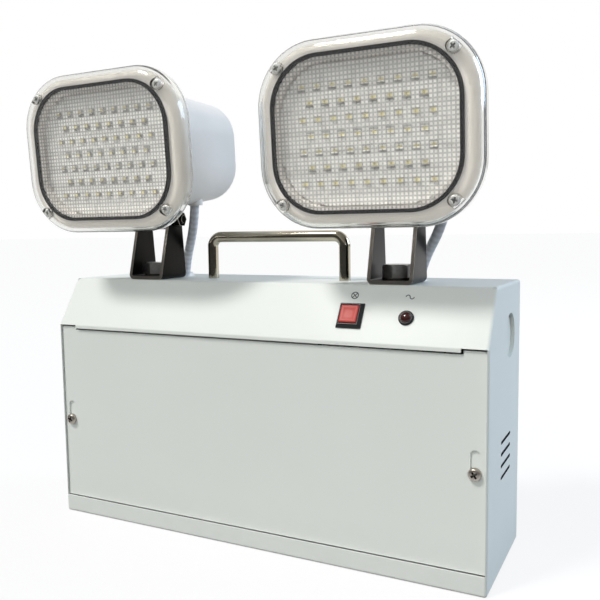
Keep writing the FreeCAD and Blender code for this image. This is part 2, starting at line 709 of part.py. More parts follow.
def lens_screws(x):
    solids = []
    top = POCKET_DEPTH - LENS_SCREW_HEAD_H
    for px, pz in corner_spots():
        head = rod(LENS_SCREW_HEAD_R, (px, top, pz), Y_AXIS, LENS_SCREW_HEAD_H)
        head = head.makeFillet(LENS_SCREW_HEAD_H / 2, edges_at(head, top))
        shank = rod(LENS_SCREW_R, (px, POCKET_DEPTH, pz), Y_AXIS, LENS_SCREW_L)
        solids.append(head.fuse(shank).removeSplitter())
    return on_head(Part.makeCompound(solids), x)


def shell_half(depth, inset=0.0):
    """Half width, half height and corner radius of the head's shell at one depth."""
    taken = inset + SHELL_TAPER * (depth - SEAT) / (SHELL_DEPTH - SEAT)
    return SHELL_W / 2 - taken, SHELL_H / 2 - taken, SHELL_R - taken


def shell_form(near, far, inset, rear_radius):
    """A tapered length of the shell, with its rear edge rounded."""
    ends = [round_wire(*shell_half(depth, inset), depth) for depth in (near, far)]
    solid = Part.makeLoft(ends, True, True)
    return solid.makeFillet(rear_radius, edges_at(solid, far))


def make_housing(x):
    """The moulded head housing: a rim for the lens, a tapered shell and the lug that it tilts on."""
    half_w, half_h = LENS_W / 2 - LENS_WALL - RIM_GAP, LENS_H / 2 - LENS_WALL - RIM_GAP
    rim = round_slab(half_w, half_h, LENS_R - LENS_WALL - RIM_GAP, SEAT, SEAT + RIM_DEPTH)
    rim = rim.makeFillet(RIM_EDGE_R, edges_at(rim, SEAT))
    solid = rim.fuse([shell_form(SEAT, SHELL_DEPTH, 0, SHELL_REAR_R), make_lug()]).removeSplitter()
    inner_end = SHELL_DEPTH - SHELL_WALL
    ledge_end = BOARD_BACK + LEDGE_H
    ends = [round_wire(*shell_half(d, SHELL_WALL), d) for d in (SEAT - 1, BOARD_BACK)]
    pocket = Part.makeLoft(ends, True, True)
    neck = round_slab(*shell_half(BOARD_BACK, SHELL_WALL + LEDGE_W), BOARD_BACK - 1, ledge_end + 1)
    cavity = shell_form(ledge_end, inner_end, SHELL_WALL, SHELL_REAR_R - SHELL_WALL)
    cuts = [pocket, neck, cavity]
    cuts += [rod(LENS_SCREW_R + HOLE_FIT, (px, SEAT - 1, pz), Y_AXIS, RIM_DEPTH + 2)
             for px, pz in corner_spots()]
    cuts.append(rod(GLAND_R + HOLE_FIT, (GLAND_X, LENS_AHEAD + GLAND_BACK, -HEAD_UP), Z_AXIS, HEAD_UP))
    cuts.append(rod(PIVOT_R + PIVOT_FIT, (-LUG_HALF - 1, LENS_AHEAD, -HEAD_UP), X_AXIS, 2 * LUG_HALF + 2))
    return on_head(solid.cut(cuts), x)


def make_lug():
    """The lug under the shell, round at the pivot and broad where it joins."""
    top = SHELL_WALL / 2 - shell_half(LENS_AHEAD)[1]
    half = LUG_FOOT / 2
    points = [(LENS_AHEAD - half, top), (LENS_AHEAD + half, top),
              (LENS_AHEAD + EAR_R, -HEAD_UP), (LENS_AHEAD - EAR_R, -HEAD_UP)]
    web = prism([(-LUG_HALF, y, z) for y, z in points], Vector(2 * LUG_HALF, 0, 0))
    return web.fuse(rod(EAR_R, (-LUG_HALF, LENS_AHEAD, -HEAD_UP), X_AXIS, 2 * LUG_HALF)).removeSplitter()


def led_board(x):
    half_w, half_h, radius = shell_half(BOARD_BACK, SHELL_WALL + BOARD_GAP)
    return on_head(round_slab(half_w, half_h, radius, BOARD_BACK - BOARD_T, BOARD_BACK), x)


def led_chips(x):
    """Rows of lamps on the board, every other row set over by half a step."""
    front = BOARD_BACK - BOARD_T
    solids = []
    for row in range(LED_ROWS):
        count = LED_COLUMNS - row % 2
        z = (row - (LED_ROWS - 1) / 2) * LED_PITCH_Z
        for column in range(count):
            px = (column - (count - 1) / 2) * LED_PITCH_X
            solids.append(block((px - LED_W / 2, px + LED_W / 2), (front - LED_T, front),
                                (z - LED_H / 2, z + LED_H / 2)))
    return on_head(Part.makeCompound(solids), x)


def lead_gland(x):
    """The bush that the lead enters the head through, flared at its mouth."""
    wall = -shell_half(LENS_AHEAD + GLAND_BACK)[1]
    start = (GLAND_X, LENS_AHEAD + GLAND_BACK, wall - GLAND_OUT)
    length = GLAND_OUT + SHELL_WALL + GLAND_IN
    bore = LEAD_R + LEAD_GAP
    bush = rod(GLAND_R, start, Z_AXIS, length)
    bush = bush.cut(flare(bore + GLAND_FLARE, bore, start, Z_AXIS, GLAND_OUT + SHELL_WALL))
    return on_head(bush.cut(rod(bore, start, Z_AXIS, length)), x)


def lead_bush(x):
    """The flared bush in the case's top."""
    spot = (x + LEAD_HOLE_X, LEAD_HOLE_Y)
    bore = LEAD_R + BUSH_GAP
    low = CASE_H - 2 * SHEET
    solid = rod(BUSH_R, (*spot, low), Z_AXIS, 2 * SHEET)
    collar = flare(BUSH_FLANGE_R, BUSH_R + BUSH_FLANGE_H / 4, (*spot, CASE_H), Z_AXIS, BUSH_FLANGE_H)
    mouth = flare(bore, bore + BUSH_FLARE, (*spot, low), Z_AXIS, 2 * SHEET + BUSH_FLANGE_H)
    return solid.fuse(collar).removeSplitter().cut(mouth)


def make_lead(x, name):
    """A tube along the route's straight runs, with the largest tangent arc that each corner allows."""
    points = [Vector(px + x, py, pz) for px, py, pz in LEAD_ROUTE]
    edges = []
    start = points[0]
    radii = []
    for before, corner, after in zip(points, points[1:], points[2:]):
        into, out = (corner - before), (after - corner)
        half_turn = into.getAngle(out) / 2
        trim = ARC_SHARE * min(into.Length, out.Length)
        radii.append(trim / math.tan(half_turn))
        a = corner - into.normalize() * trim
        c = corner + out.normalize() * trim
        inward = (a + c) * 0.5 - corner
        drop = radii[-1] / math.cos(half_turn) - radii[-1]
        b = corner + inward.normalize() * drop
        edges += [Part.LineSegment(start, a).toShape(), Part.Arc(a, b, c).toShape()]
        start = c
    edges.append(Part.LineSegment(start, points[-1]).toShape())
    path = Part.Wire(edges)
    section = Part.Wire(Part.makeCircle(LEAD_R, points[0], points[1] - points[0]))
    tube = path.makePipeShell([section], True, False)
    print(name, "radii", [round(r, 1) for r in radii], "length", round(path.Length, 1),
          "volume ratio", round(tube.Volume / (math.pi * LEAD_R ** 2 * path.Length), 4))
    return tube


def make_battery():
    solid = block((BATTERY_X - BATTERY_W / 2, BATTERY_X + BATTERY_W / 2),
                  (INNER_BACK - BATTERY_D, INNER_BACK), (SHEET, SHEET + BATTERY_H))
    return solid.makeFillet(BATTERY_EDGE, solid.Edges)


def battery_tabs():
    solids = []
    top = SHEET + BATTERY_H
    y = INNER_BACK - TAB_INSET
    for side in (-1, 1):
        x = BATTERY_X + side * (BATTERY_W / 2 - TAB_INSET)
        solids.append(block((x - TAB_W / 2, x + TAB_W / 2), (y, y + TAB_T), (top, top + TAB_H)))
    return Part.makeCompound(solids)


def battery_strap():
    """A strip bent over the battery, with a foot against the back wall and one on the floor."""
    half = STRAP_W / 2
    x = (BATTERY_X - half, BATTERY_X + half)
    top = SHEET + BATTERY_H
    front = INNER_BACK - BATTERY_D
    strip = block(x, (front - STRAP_T, INNER_BACK), (top, top + STRAP_T))
    down = block(x, (front - STRAP_T, front), (SHEET, top))
    foot = block(x, (front - STRAP_FOOT, front), (SHEET, SHEET + STRAP_T))
    back = block(x, (INNER_BACK - STRAP_T, INNER_BACK), (top, top + STRAP_FOOT))
    solid = strip.fuse([down, foot, back]).removeSplitter()
    for spot, axis in strap_screw_spots():
        solid = solid.cut(Part.makeCylinder(STRAP_SCREW_R + HOLE_FIT, STRAP_T, spot, axis))
    return solid


def strap_screw_spots():
    """Where the strap's two screws go in, and which way."""
    top = SHEET + BATTERY_H
    front = INNER_BACK - BATTERY_D
    half = STRAP_FOOT / 2
    return [(Vector(BATTERY_X, front - half, SHEET + STRAP_T), Vector(0, 0, -1)),
            (Vector(BATTERY_X, INNER_BACK - STRAP_T, top + STRAP_T + half), Y_AXIS)]


def strap_screws():
    solids = []
    for spot, axis in strap_screw_spots():
        shank = Part.makeCylinder(STRAP_SCREW_R, STRAP_T, spot, axis)
        head = Part.makeCylinder(STRAP_SCREW_HEAD_R, STRAP_SCREW_HEAD_H, spot, axis * -1)
        solids.append(head.fuse(shank).removeSplitter())
    return Part.makeCompound(solids)


def transformer_core():
    """A stack of E and I laminations standing on the floor."""
    half = CORE_W / 2
    depth = (CORE_Y, CORE_Y + CORE_D)
    core = block((CORE_X - half, CORE_X + half), depth, (SHEET, SHEET + CORE_H))
    window = (SHEET + CORE_LIMB, SHEET + CORE_H - CORE_LIMB)
    for side in (-1, 1):
        ends = sorted((CORE_X + side * CORE_LIMB, CORE_X + side * (half - CORE_LIMB)))
        core = core.cut(block(ends, (depth[0] - 1, depth[1] + 1), window))
    return core


def transformer_coil():
    """The winding on its bobbin, round the core's middle limb."""
    half = CORE_W / 2 - CORE_LIMB - COIL_GAP
    low, high = SHEET + CORE_LIMB, SHEET + CORE_H - CORE_LIMB
    depth = (CORE_Y - COIL_OVERHANG, CORE_Y + CORE_D + min(COIL_OVERHANG, INNER_BACK - CORE_Y - CORE_D) / 2)
    coil = block((CORE_X - half, CORE_X + half), depth, (low, high))
    upright = [e for e in coil.Edges if e.BoundBox.ZLength > (high - low) / 2]
    coil = coil.makeFillet(COIL_OVERHANG / 5, upright)
    limb = block((CORE_X - CORE_LIMB, CORE_X + CORE_LIMB), (CORE_Y, CORE_Y + CORE_D), (low, high))
    return coil.cut(limb)


def charger_face():
    """The front face of the charger board, along Y."""
    return INNER_BACK - STANDOFF_H - CHARGER_T


def charger_board():
    front = charger_face()
    return block((BOARD_X - CHARGER_W / 2, BOARD_X + CHARGER_W / 2), (front, front + CHARGER_T),
                 (BOARD_Z - CHARGER_H / 2, BOARD_Z + CHARGER_H / 2))


def board_standoffs():
    solids = []
    for sx in (-1, 1):
        for sz in (-1, 1):
            x = BOARD_X + sx * (CHARGER_W / 2 - STANDOFF_INSET)
            z = BOARD_Z + sz * (CHARGER_H / 2 - STANDOFF_INSET)
            solids.append(rod(STANDOFF_R, (x, INNER_BACK - STANDOFF_H, z), Y_AXIS, STANDOFF_H))
    return Part.makeCompound(solids)


def heat_sink():
    """A small finned sink on the charger board."""
    front = charger_face()
    left = BOARD_X - CHARGER_W / 2 + STANDOFF_INSET * 2
    low = BOARD_Z - SINK_H / 2
    base = block((left, left + SINK_W), (front - SINK_FIN, front), (low, low + SINK_H))
    step = (SINK_W - SINK_FIN) / (SINK_FINS - 1)
    spots = [left + i * step for i in range(SINK_FINS)]
    fins = [block((x, x + SINK_FIN), (front - SINK_D, front), (low, low + SINK_H)) for x in spots]
    return base.fuse(fins).removeSplitter()


def charge_relay():
    front = charger_face()
    return block((BOARD_X - RELAY_W / 2, BOARD_X + RELAY_W / 2), (front - RELAY_D, front),
                 (BOARD_Z - RELAY_H / 2, BOARD_Z + RELAY_H / 2))


def board_capacitors():
    front = charger_face()
    x = BOARD_X + CHARGER_W / 2 - STANDOFF_INSET - 2 * CAP_R
    cans = [rod(CAP_R, (x, front - CAP_L, BOARD_Z + side * CAP_PITCH / 2), Y_AXIS, CAP_L)
            for side in (-1, 1)]
    return Part.makeCompound(cans)


def terminal_block():
    """The mains terminal block on the back wall, with a well for each wire."""
    half = BLOCK_W / 2
    solid = block((BLOCK_X - half, BLOCK_X + half), (INNER_BACK - BLOCK_D, INNER_BACK),
                  (BLOCK_Z - BLOCK_H / 2, BLOCK_Z + BLOCK_H / 2))
    step = BLOCK_W / BLOCK_WAYS
    spots = [BLOCK_X - half + (i + 0.5) * step for i in range(BLOCK_WAYS)]
    wells = [rod(step / 4, (x, INNER_BACK - BLOCK_D, BLOCK_Z), Y_AXIS, BLOCK_D / 2) for x in spots]
    return solid.cut(wells)


def save(name, shape):
    shape.exportStep(os.path.join("parts", name + ".step"))


def main():
    os.makedirs("parts", exist_ok=True)
    save("case", make_case())
    save("front_cover", make_cover())
    save("left_cover_rail", make_rail(-1))
    save("right_cover_rail", make_rail(1))
    save("cover_screws", cover_screws())
    save("cover_nuts", clinch_nuts())
    save("handle", make_handle())
    save("handle_washers", handle_washers())
    save("handle_nuts", handle_nuts())
    save("switch_body", switch_body())
    save("test_button", test_button())
    save("indicator_bezel", indicator_bezel())
    save("indicator_lens", indicator_lens())
    save("pan_bolts", pan_bolts())
    save("pan_washers", pan_washers())
    save("pan_nuts", pan_nuts())
    save("battery", make_battery())
    save("battery_tabs", battery_tabs())
    save("battery_strap", battery_strap())
    save("strap_screws", strap_screws())
    save("transformer_core", transformer_core())
    save("transformer_coil", transformer_coil())
    save("charger_board", charger_board())
    save("board_standoffs", board_standoffs())
    save("heat_sink", heat_sink())
    save("charge_relay", charge_relay())
    save("board_capacitors", board_capacitors())
    save("terminal_block", terminal_block())
    for side, x in SIDES.items():
        save(side + "_lead_bush", lead_bush(x))
        save(side + "_yoke", make_yoke(x))
        save(side + "_pivot_bolt", pivot_bolt(x))
        save(side + "_pivot_nut", pivot_nut(x))
        save(side + "_pivot_washers", pivot_washers(x))
        save(side + "_housing", make_housing(x))
        save(side + "_lens", make_lens(x))
        save(side + "_seal", make_seal(x))
        save(side + "_lens_screws", lens_screws(x))
        save(side + "_led_board", led_board(x))
        save(side + "_led_chips", led_chips(x))
        save(side + "_lead_gland", lead_gland(x))
        save(side + "_lead", make_lead(x, side + " lead"))


main()
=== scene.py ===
"""Models and finishes the visible pieces of a twin-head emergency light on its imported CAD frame.

Laid out as a Blender add-on. Each operator makes one piece, or a group of like pieces, in place on the
frame. Lengths are metres. The origin is the centre of the case's underside, +X to the viewer's right, +Y to
the back and +Z up.
"""
import json
import math

import bmesh
import bpy
from bpy.props import FloatProperty, FloatVectorProperty, IntProperty, PointerProperty
from bpy.types import Operator, Panel, PropertyGroup
from mathutils import Matrix, Vector


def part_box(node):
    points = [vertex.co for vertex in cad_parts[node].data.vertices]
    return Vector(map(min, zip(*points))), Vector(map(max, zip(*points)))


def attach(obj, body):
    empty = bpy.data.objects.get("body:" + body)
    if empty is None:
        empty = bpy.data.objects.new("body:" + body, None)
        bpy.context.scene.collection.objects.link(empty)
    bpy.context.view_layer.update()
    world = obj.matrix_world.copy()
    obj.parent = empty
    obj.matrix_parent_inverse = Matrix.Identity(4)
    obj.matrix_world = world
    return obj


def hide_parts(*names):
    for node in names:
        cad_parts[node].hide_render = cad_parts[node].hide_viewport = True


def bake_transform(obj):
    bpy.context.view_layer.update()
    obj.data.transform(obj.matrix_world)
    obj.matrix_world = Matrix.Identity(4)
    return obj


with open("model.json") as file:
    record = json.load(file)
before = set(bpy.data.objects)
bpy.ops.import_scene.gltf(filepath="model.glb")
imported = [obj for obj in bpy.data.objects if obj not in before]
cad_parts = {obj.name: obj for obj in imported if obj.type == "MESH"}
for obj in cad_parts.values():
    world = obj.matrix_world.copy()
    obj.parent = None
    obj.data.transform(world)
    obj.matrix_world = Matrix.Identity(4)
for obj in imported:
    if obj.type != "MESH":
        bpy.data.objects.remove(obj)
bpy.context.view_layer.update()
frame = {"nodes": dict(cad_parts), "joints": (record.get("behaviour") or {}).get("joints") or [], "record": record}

bl_info = {
    "name": "Twin-Head Emergency Light",
    "version": (1, 0, 0),
    "blender": (4, 5, 0),
    "location": "3D View > Sidebar > Emergency Light",
    "description": "Models and finishes the pieces of an emergency light on its CAD frame",
    "category": "Object",
}

SIDES = ("left", "right")
JOINTS = {joint["name"]: joint for joint in frame["joints"]}
BODY_OF = {node: body for body, nodes in frame["record"]["behaviour"]["bodies"].items() for node in nodes}
SLOT_OF = {row["node"]: row["material_slot"] for row in frame["record"]["subparts"]}
PIVOT = {side: Vector(JOINTS[f"{side}_tilt"]["pos_m"]) for side in SIDES}

# Control points of each lead, beside its head's centre: out of the case, and on into the head
LOWER_LEAD = [(0.003, 0.019, 0.158), (0.003, 0.019, 0.1865), (0.0185, 0.006345, 0.2085)]
UPPER_LEAD = [(0.0185, 0.006345, 0.2085), (0.034, -0.00631, 0.2305), (0.034, -0.00823, 0.25792)]

# The turn that makes a flat primitive face the front, and the directions that a face can point in
FRONT = (math.pi / 2, 0, 0)
UP, DOWN = Vector((0, 0, 1)), Vector((0, 0, -1))
BACK, AHEAD = Vector((0, 1, 0)), Vector((0, -1, 0))

# Vertices this close are one
TOUCHING = 1e-6

# Small allowances between pieces; how far a cutting shape starts outside what it cuts; and a rounded end
# that stops just short of a half circle, so that its corners stay apart
PRISM_GAP = 0.00003
SEAL_GAP = 0.00005
HOLE_GAP = 0.0001
BEZEL_GAP = 0.0001
OVERCUT = 0.001
NEARLY_ROUND = 0.999

# Rounding of edges
FRAME_EDGE = 0.00025
BUTTON_EDGE = 0.0011
BEZEL_EDGE = 0.0007
BOLT_EDGE = 0.0003
WASHER_EDGE = 0.0002
YOKE_EDGE = 0.0004

# Steps of the dish in the button's cap: width and depth of each
BUTTON_DISH = ((0.0006, 0.0), (0.0008, -0.0003), (0.0016, -0.0001))

# The indicator's dome: its straight foot, and the turns of the curve above that
DOME_FOOT = 0.0006
DOME_TURNS = [math.radians(degrees) for degrees in range(0, 96, 12)]

# The seal's groove, in shares of its band
GROOVE_IN = 0.3
GROOVE_SIDE = 0.08

# A cross-head screw, in shares of its head's radius or height, and the turns that screws are left at
HEAD_ROUND = 0.6
CROSS_LONG = 1.3
CROSS_WIDE = 0.36
CROSS_DEEP = 1.1
CROSS_TAPER = 0.7
COVER_SCREW_TURNS = (0.35, 0.95)
LENS_SCREW_TURNS = (0.4, 1.1, 1.8, 2.5)

# Printed marks: thickness of the ink, and how far a sign's bars lie above its ring
INK = 0.00006
BAR_LIFT = 0.00001

# Finishes: how far the darker foot reaches up the case, one steel sheet of the core, and depth of a fine grain
DARKER_FOOT_HEIGHT = 0.035
CORE_SHEET = 0.0005
GRAIN_DEPTH = 0.0002

# The pale floor: its size, and where its reflections fade in towards the back
FLOOR_SIZE = 60
FADE_FROM = -0.5
FADE_OVER = 0.6


def length(name, description, default):
    return FloatProperty(name=name, description=description, default=default, unit="LENGTH", precision=4)


def angle(name, description, degrees):
    return FloatProperty(name=name, description=description, default=math.radians(degrees), subtype="ANGLE")


def level(name, description, default, **settings):
    return FloatProperty(name=name, description=description, default=default, min=0, **settings)


def point(name, description, default):
    return FloatVectorProperty(name=name, description=description, default=default, subtype="XYZ",
                               unit="LENGTH")


def group(kind, name, description):
    return PointerProperty(type=kind, name=name, description=description)


def colour(name, description, default):
    return FloatVectorProperty(name=name, description=description, default=default, subtype="COLOR",
                               min=0, max=1)


class LeadSizes(PropertyGroup):
    diameter: length("Diameter", "Across the lead's sheath", 0.0068)
    rib: length("Rib pitch", "From one wrap of the cores under the sheath to the next", 0.0044)


class LensSizes(PropertyGroup):
    tilt: angle("Tilt", "How far the head leans back at rest", 4.0)
    ahead: length("Ahead", "From the pivot forward to the lens's front", 0.063)
    rise: length("Rise", "From the pivot up to the lens's centre", 0.0498)
    width: length("Width", "Across the lens", 0.138)
    height: length("Height", "Top to bottom of the lens", 0.1102)
    corner: length("Corner radius", "Radius of the lens's outline", 0.038)
    depth: length("Depth", "From the front to the skirt's back edge", 0.013)
    wall: length("Wall", "Thickness of the moulding", 0.0025)
    edge: length("Edge radius", "Radius of the broad front edge", 0.0085)
    window_width: length("Window width", "Across the prisms", 0.1124)
    window_height: length("Window height", "Top to bottom of the prisms", 0.0880)
    window_corner: length("Window corner", "Corner radius of the prisms' outline", 0.0289)
    pitch: length("Prism pitch", "From one prism to the next", 0.00246)
    prism: length("Prism height", "How far each prism stands out behind", 0.00012)
    prism_top: length("Prism top", "Across the flat end of a prism", 0.0015)
    seat: length("Seat", "Depth of the housing's rim behind the front", 0.0045)
    seal_band: length("Seal band", "Width of the seal", 0.0022)
    groove: length("Seal groove", "Depth of the groove along the seal", 0.0006)
    screw_x: length("Screw offset across", "From the centre to a screw", 0.0529)
    screw_z: length("Screw offset up", "From the centre to a screw", 0.0403)
    screw_head: length("Screw head radius", "Radius of the lens screws' heads", 0.0031)
    screw_tall: length("Screw head height", "Height of those heads", 0.0016)
    screw_shank: length("Screw shank radius", "Radius of their threads", 0.0015)
    screw_reach: length("Screw reach", "Length of their threads", 0.0071)
    boss: length("Boss radius", "Radius of the boss behind a screw's head", 0.0040)
    pocket: length("Pocket radius", "Half the width of the channel round a screw", 0.0037)
    pocket_depth: length("Pocket depth", "Depth of that channel", 0.0030)


class LampSizes(PropertyGroup):
    board: length("Board front", "Depth of the lamp board behind the lens's front", 0.0100)
    width: length("Width", "Across one lamp", 0.0035)
    height: length("Height", "Top to bottom of one lamp", 0.0028)
    thick: length("Thickness", "From the board to the lamp's face", 0.0011)
    border: length("Border", "White border round the phosphor", 0.00030)
    # The pad's ring round a lamp is darkened as painted shade
    pad: length("Pad", "How far the grey pad under a lamp shows round it", 0.0007)
    pad_thick: length("Pad thickness", "From the board to the pad's face", 0.00015)
    across: length("Pitch across", "Between lamps in a row", 0.0100)
    down: length("Pitch down", "Between rows", 0.0094)
    rows: IntProperty(name="Rows", description="Rows of lamps", default=7, min=1)
    columns: IntProperty(name="Columns", description="Lamps in a full row", default=9, min=2)


class PanelSizes(PropertyGroup):
    lean: angle("Lean", "Angle of the sloped panel from the floor", 58.07)
    foot_y: length("Foot depth", "Front edge of the sloped panel", -0.048)
    foot_z: length("Foot height", "Height of that edge", 0.1485)
    switch_x: length("Switch place", "Test switch from the middle", 0.0754)
    switch_up: length("Switch rise", "Test switch up the panel", 0.0178)
    switch_width: length("Switch width", "Across the switch's frame", 0.0168)
    switch_height: length("Switch height", "Up the switch's frame", 0.0176)
    switch_foot: length("Frame foot", "Height of the frame's square foot", 0.0008)
    switch_frame: length("Frame height", "How far the frame stands out", 0.0034)
    switch_taper: length("Frame taper", "How far the frame's sides lean in", 0.0014)
    switch_body: length("Switch body", "Across the body behind the panel", 0.0144)
    switch_depth: length("Switch depth", "How far that body reaches in", 0.019)
    button: length("Button", "Across the button's cap", 0.0122)
    button_tall: length("Button height", "How far the cap stands out", 0.0042)
    button_stem: length("Button stem", "How far the cap reaches in", 0.0050)
    button_gap: length("Button gap", "Between the cap and its well", 0.0003)
    button_travel: length("Button travel", "How far the cap can be pressed", 0.0025)
    lamp_x: length("Indicator place", "Indicator from the middle", 0.1123)
    lamp_up: length("Indicator rise", "Indicator up the panel", 0.0179)
    bezel: length("Bezel radius", "Radius of the indicator's collar", 0.0049)
    bezel_tall: length("Bezel height", "How far the collar stands out", 0.0015)
    bezel_body: length("Body radius", "Radius of the indicator's body behind the panel", 0.0032)
    bezel_depth: length("Body depth", "How far that body reaches in", 0.014)
    dome: length("Dome radius", "Radius of the indicator's lens", 0.0036)
    dome_tall: length("Dome height", "Rise of that lens above the collar", 0.0022)
    mark_up: length("Mark rise", "Printed marks up the panel", 0.0325)
    mark: length("Mark size", "Radius of a printed mark", 0.0026)
    stroke: length("Mark stroke", "Width of a printed line", 0.0006)


# The band of vent edge faces that is painted near-black, as shade inside the slots
class VentSizes(PropertyGroup):
    wall: length("Wall", "Depth of the vents' cut edges", 0.0016)
    middle: length("Middle", "Middle of the vents, front to back", 0.0030)
    reach: length("Reach", "From that middle past the vents' ends", 0.0160)
    low: length("Low", "Below the lowest vent", 0.0590)
    high: length("High", "Above the highest vent", 0.0870)


class CoverScrewSizes(PropertyGroup):
    head: length("Head radius", "Radius of a cover screw's head", 0.0040)
    tall: length("Head height", "Height of that head", 0.0028)
    shank: length("Shank radius", "Radius of the thread", 0.0020)


class Colours(PropertyGroup):
    paint: colour("Case paint", "Baked white enamel of the case", (0.79, 0.815, 0.785))
    plated: colour("Plated steel", "Zinc plate of small fixings", (0.68, 0.67, 0.64))
    zinc: colour("Pale zinc", "Dull plate of the lens screws", (0.80, 0.80, 0.77))
    # dark: real dark steel on the pan washers; in the cover screws' recesses it is painted shade
    dark: colour("Dark steel", "Pan washers, and recesses of the cover screws", (0.12, 0.11, 0.10))
    # cut: near-black paint on the vents' edge faces, a painted shade inside the slots
    cut: colour("Cut edges", "Dark edges of the vents", (0.020, 0.021, 0.032))
    worn: colour("Worn steel", "Cover screws, and bare edges of yokes and bolts", (0.46, 0.42, 0.37))
    nickel: colour("Handle", "Bright plate of the handle", (0.52, 0.47, 0.37))
    yoke: colour("Yokes", "Dark polished strip", (0.015, 0.0135, 0.0115))
    black: colour("Black plastic", "Switch frame and bezel", (0.014, 0.015, 0.017))
    red: colour("Button", "Moulded red cap", (0.52, 0.072, 0.060))
    ruby: colour("Indicator", "Unlit indicator dome", (0.045, 0.009, 0.008))
    housing: colour("Housing", "Moulded head housings and bushes", (0.83, 0.795, 0.765))
    clear: colour("Lens rim", "Tint of the lens's thick rim", (0.90, 0.895, 0.86))
    window: colour("Lens window", "Tint of the lens's thin window", (0.98, 0.98, 0.965))
    # groove: grey tint on the clear grooves, a painted shade for the light they scatter
    groove: colour("Lens grooves", "Tint of the frosted grooves between the prisms", (0.45, 0.45, 0.445))
    rubber: colour("Seal", "Black rubber", (0.006, 0.006, 0.007))
    sheath: colour("Lead sheath", "Pale grey sheath", (0.70, 0.71, 0.76))
    board: colour("Lamp board", "White solder mask", (0.90, 0.895, 0.88))
    chip: colour("Lamp body", "White lamp body", (0.90, 0.89, 0.85))
    phosphor: colour("Phosphor", "Yellow lamp face", (0.84, 0.77, 0.46))
    # pad: pads under the lamps, darkened as painted shade round each lamp
    pad: colour("Pads", "Grey pads under the lamps", (0.40, 0.40, 0.405))
    ink: colour("Ink", "Printed marks", (0.070, 0.072, 0.080))
    battery: colour("Battery", "Battery case", (0.045, 0.048, 0.052))
    brass: colour("Brass", "Battery tabs", (0.62, 0.44, 0.16))
    lamination: colour("Core", "Transformer laminations", (0.17, 0.165, 0.16))
    tape: colour("Winding", "Tape over the winding", (0.62, 0.43, 0.10))
    mask: colour("Charger board", "Green solder mask", (0.025, 0.17, 0.07))
    sink: colour("Heat sink", "Dull extruded metal", (0.42, 0.43, 0.45))
    relay: colour("Relay", "Blue relay cover", (0.04, 0.12, 0.32))


class StageSettings(PropertyGroup):
    camera: point("Camera", "Where the camera stands", (0.25338, -0.46071, 0.21753))
    yaw: angle("Yaw", "Camera's turn to the left", 26.86)
    pitch: angle("Pitch", "Camera's look down", 5.41)
    roll: angle("Roll", "Camera's lean", -0.78)
    lens: level("Focal length", "Camera's focal length", 43.446, unit="CAMERA")
    floor: colour("Floor", "Plain pale floor", (0.94, 0.94, 0.94))
    glow: level("Glow", "Share of the floor's white that needs no light", 0.82)
    bounce: colour("Bounce", "The floor, as it lights the object from below", (0.06, 0.06, 0.06))
    room: colour("Room", "The room in front of the object, in reflections", (0.16, 0.16, 0.16))
    key: level("Key", "Strength of the high front light", 2.0)
    key_colour: colour("Key colour", "Colour of that light", (1.0, 0.98, 0.95))
    key_fall: angle("Key fall", "That light's lean from straight down", 36)
    key_turn: angle("Key turn", "That light's turn about the upright", -35)
    key_width: angle("Key width", "How wide that light looks", 12)
    fill: level("Fill", "Power of the cool side light", 25.0, unit="POWER")
    fill_colour: colour("Fill colour", "Colour of that light", (0.64, 0.81, 1.0))
    fill_place: point("Fill place", "Where that light stands", (1.6, 1.0, 1.05))
    fill_target: point("Fill target", "What that light looks at", (0.0, 0.0, 0.20))
    fill_size: length("Fill size", "Across that light", 1.0)
    ambient: level("Ambient", "Strength of the cool light all round", 0.15)
    cool: colour("Ambient colour", "Colour of that light", (0.45, 0.65, 1.0))
    front: level("Front", "Strength of the wide light from the front", 2.0)
    rear: level("Rear", "Strength of the wide light from the back", 1.3)
    warm: colour("Wide colour", "Colour of those two lights", (1.0, 1.0, 0.93))


class LightSettings(PropertyGroup):
    lead: group(LeadSizes, "Leads", "Sizes of the leads")
    lens: group(LensSizes, "Lenses", "Sizes of the lenses, their seals and their screws")
    lamp: group(LampSizes, "Lamps", "Sizes of the lamps behind a lens")
    panel: group(PanelSizes, "Panel", "Sizes of what the sloped panel carries")
    vent: group(VentSizes, "Vents", "Where the case's vents are cut")
    screw: group(CoverScrewSizes, "Cover screws", "Sizes of the screws that hold the cover")
    colours: group(Colours, "Colours", "Colours of the finishes")
    stage: group(StageSettings, "Stage", "Camera, floor and lights")


class Socket:
    """An output socket. Python arithmetic on it adds Math nodes to its tree."""

    def __init__(self, nodes, socket):
        self.nodes = nodes
        self.socket = socket

    def math(self, operation, *others):
        return self.nodes.math(operation, self, *others)

    def __add__(self, other):
        return self.math("ADD", other)

    def __sub__(self, other):
        return self.math("SUBTRACT", other)

    def __rsub__(self, other):
        return self.nodes.math("SUBTRACT", other, self)

    def __mul__(self, other):
        return self.math("MULTIPLY", other)

    def __truediv__(self, other):
        return self.math("DIVIDE", other)

    __radd__ = __add__
    __rmul__ = __mul__

    def clamped(self):
        return self.math("MAXIMUM", 0.0).math("MINIMUM", 1.0)

    def ramp(self, slope, start):
        """A straight rise, held between nought and one."""
        return (self * slope + start).clamped()


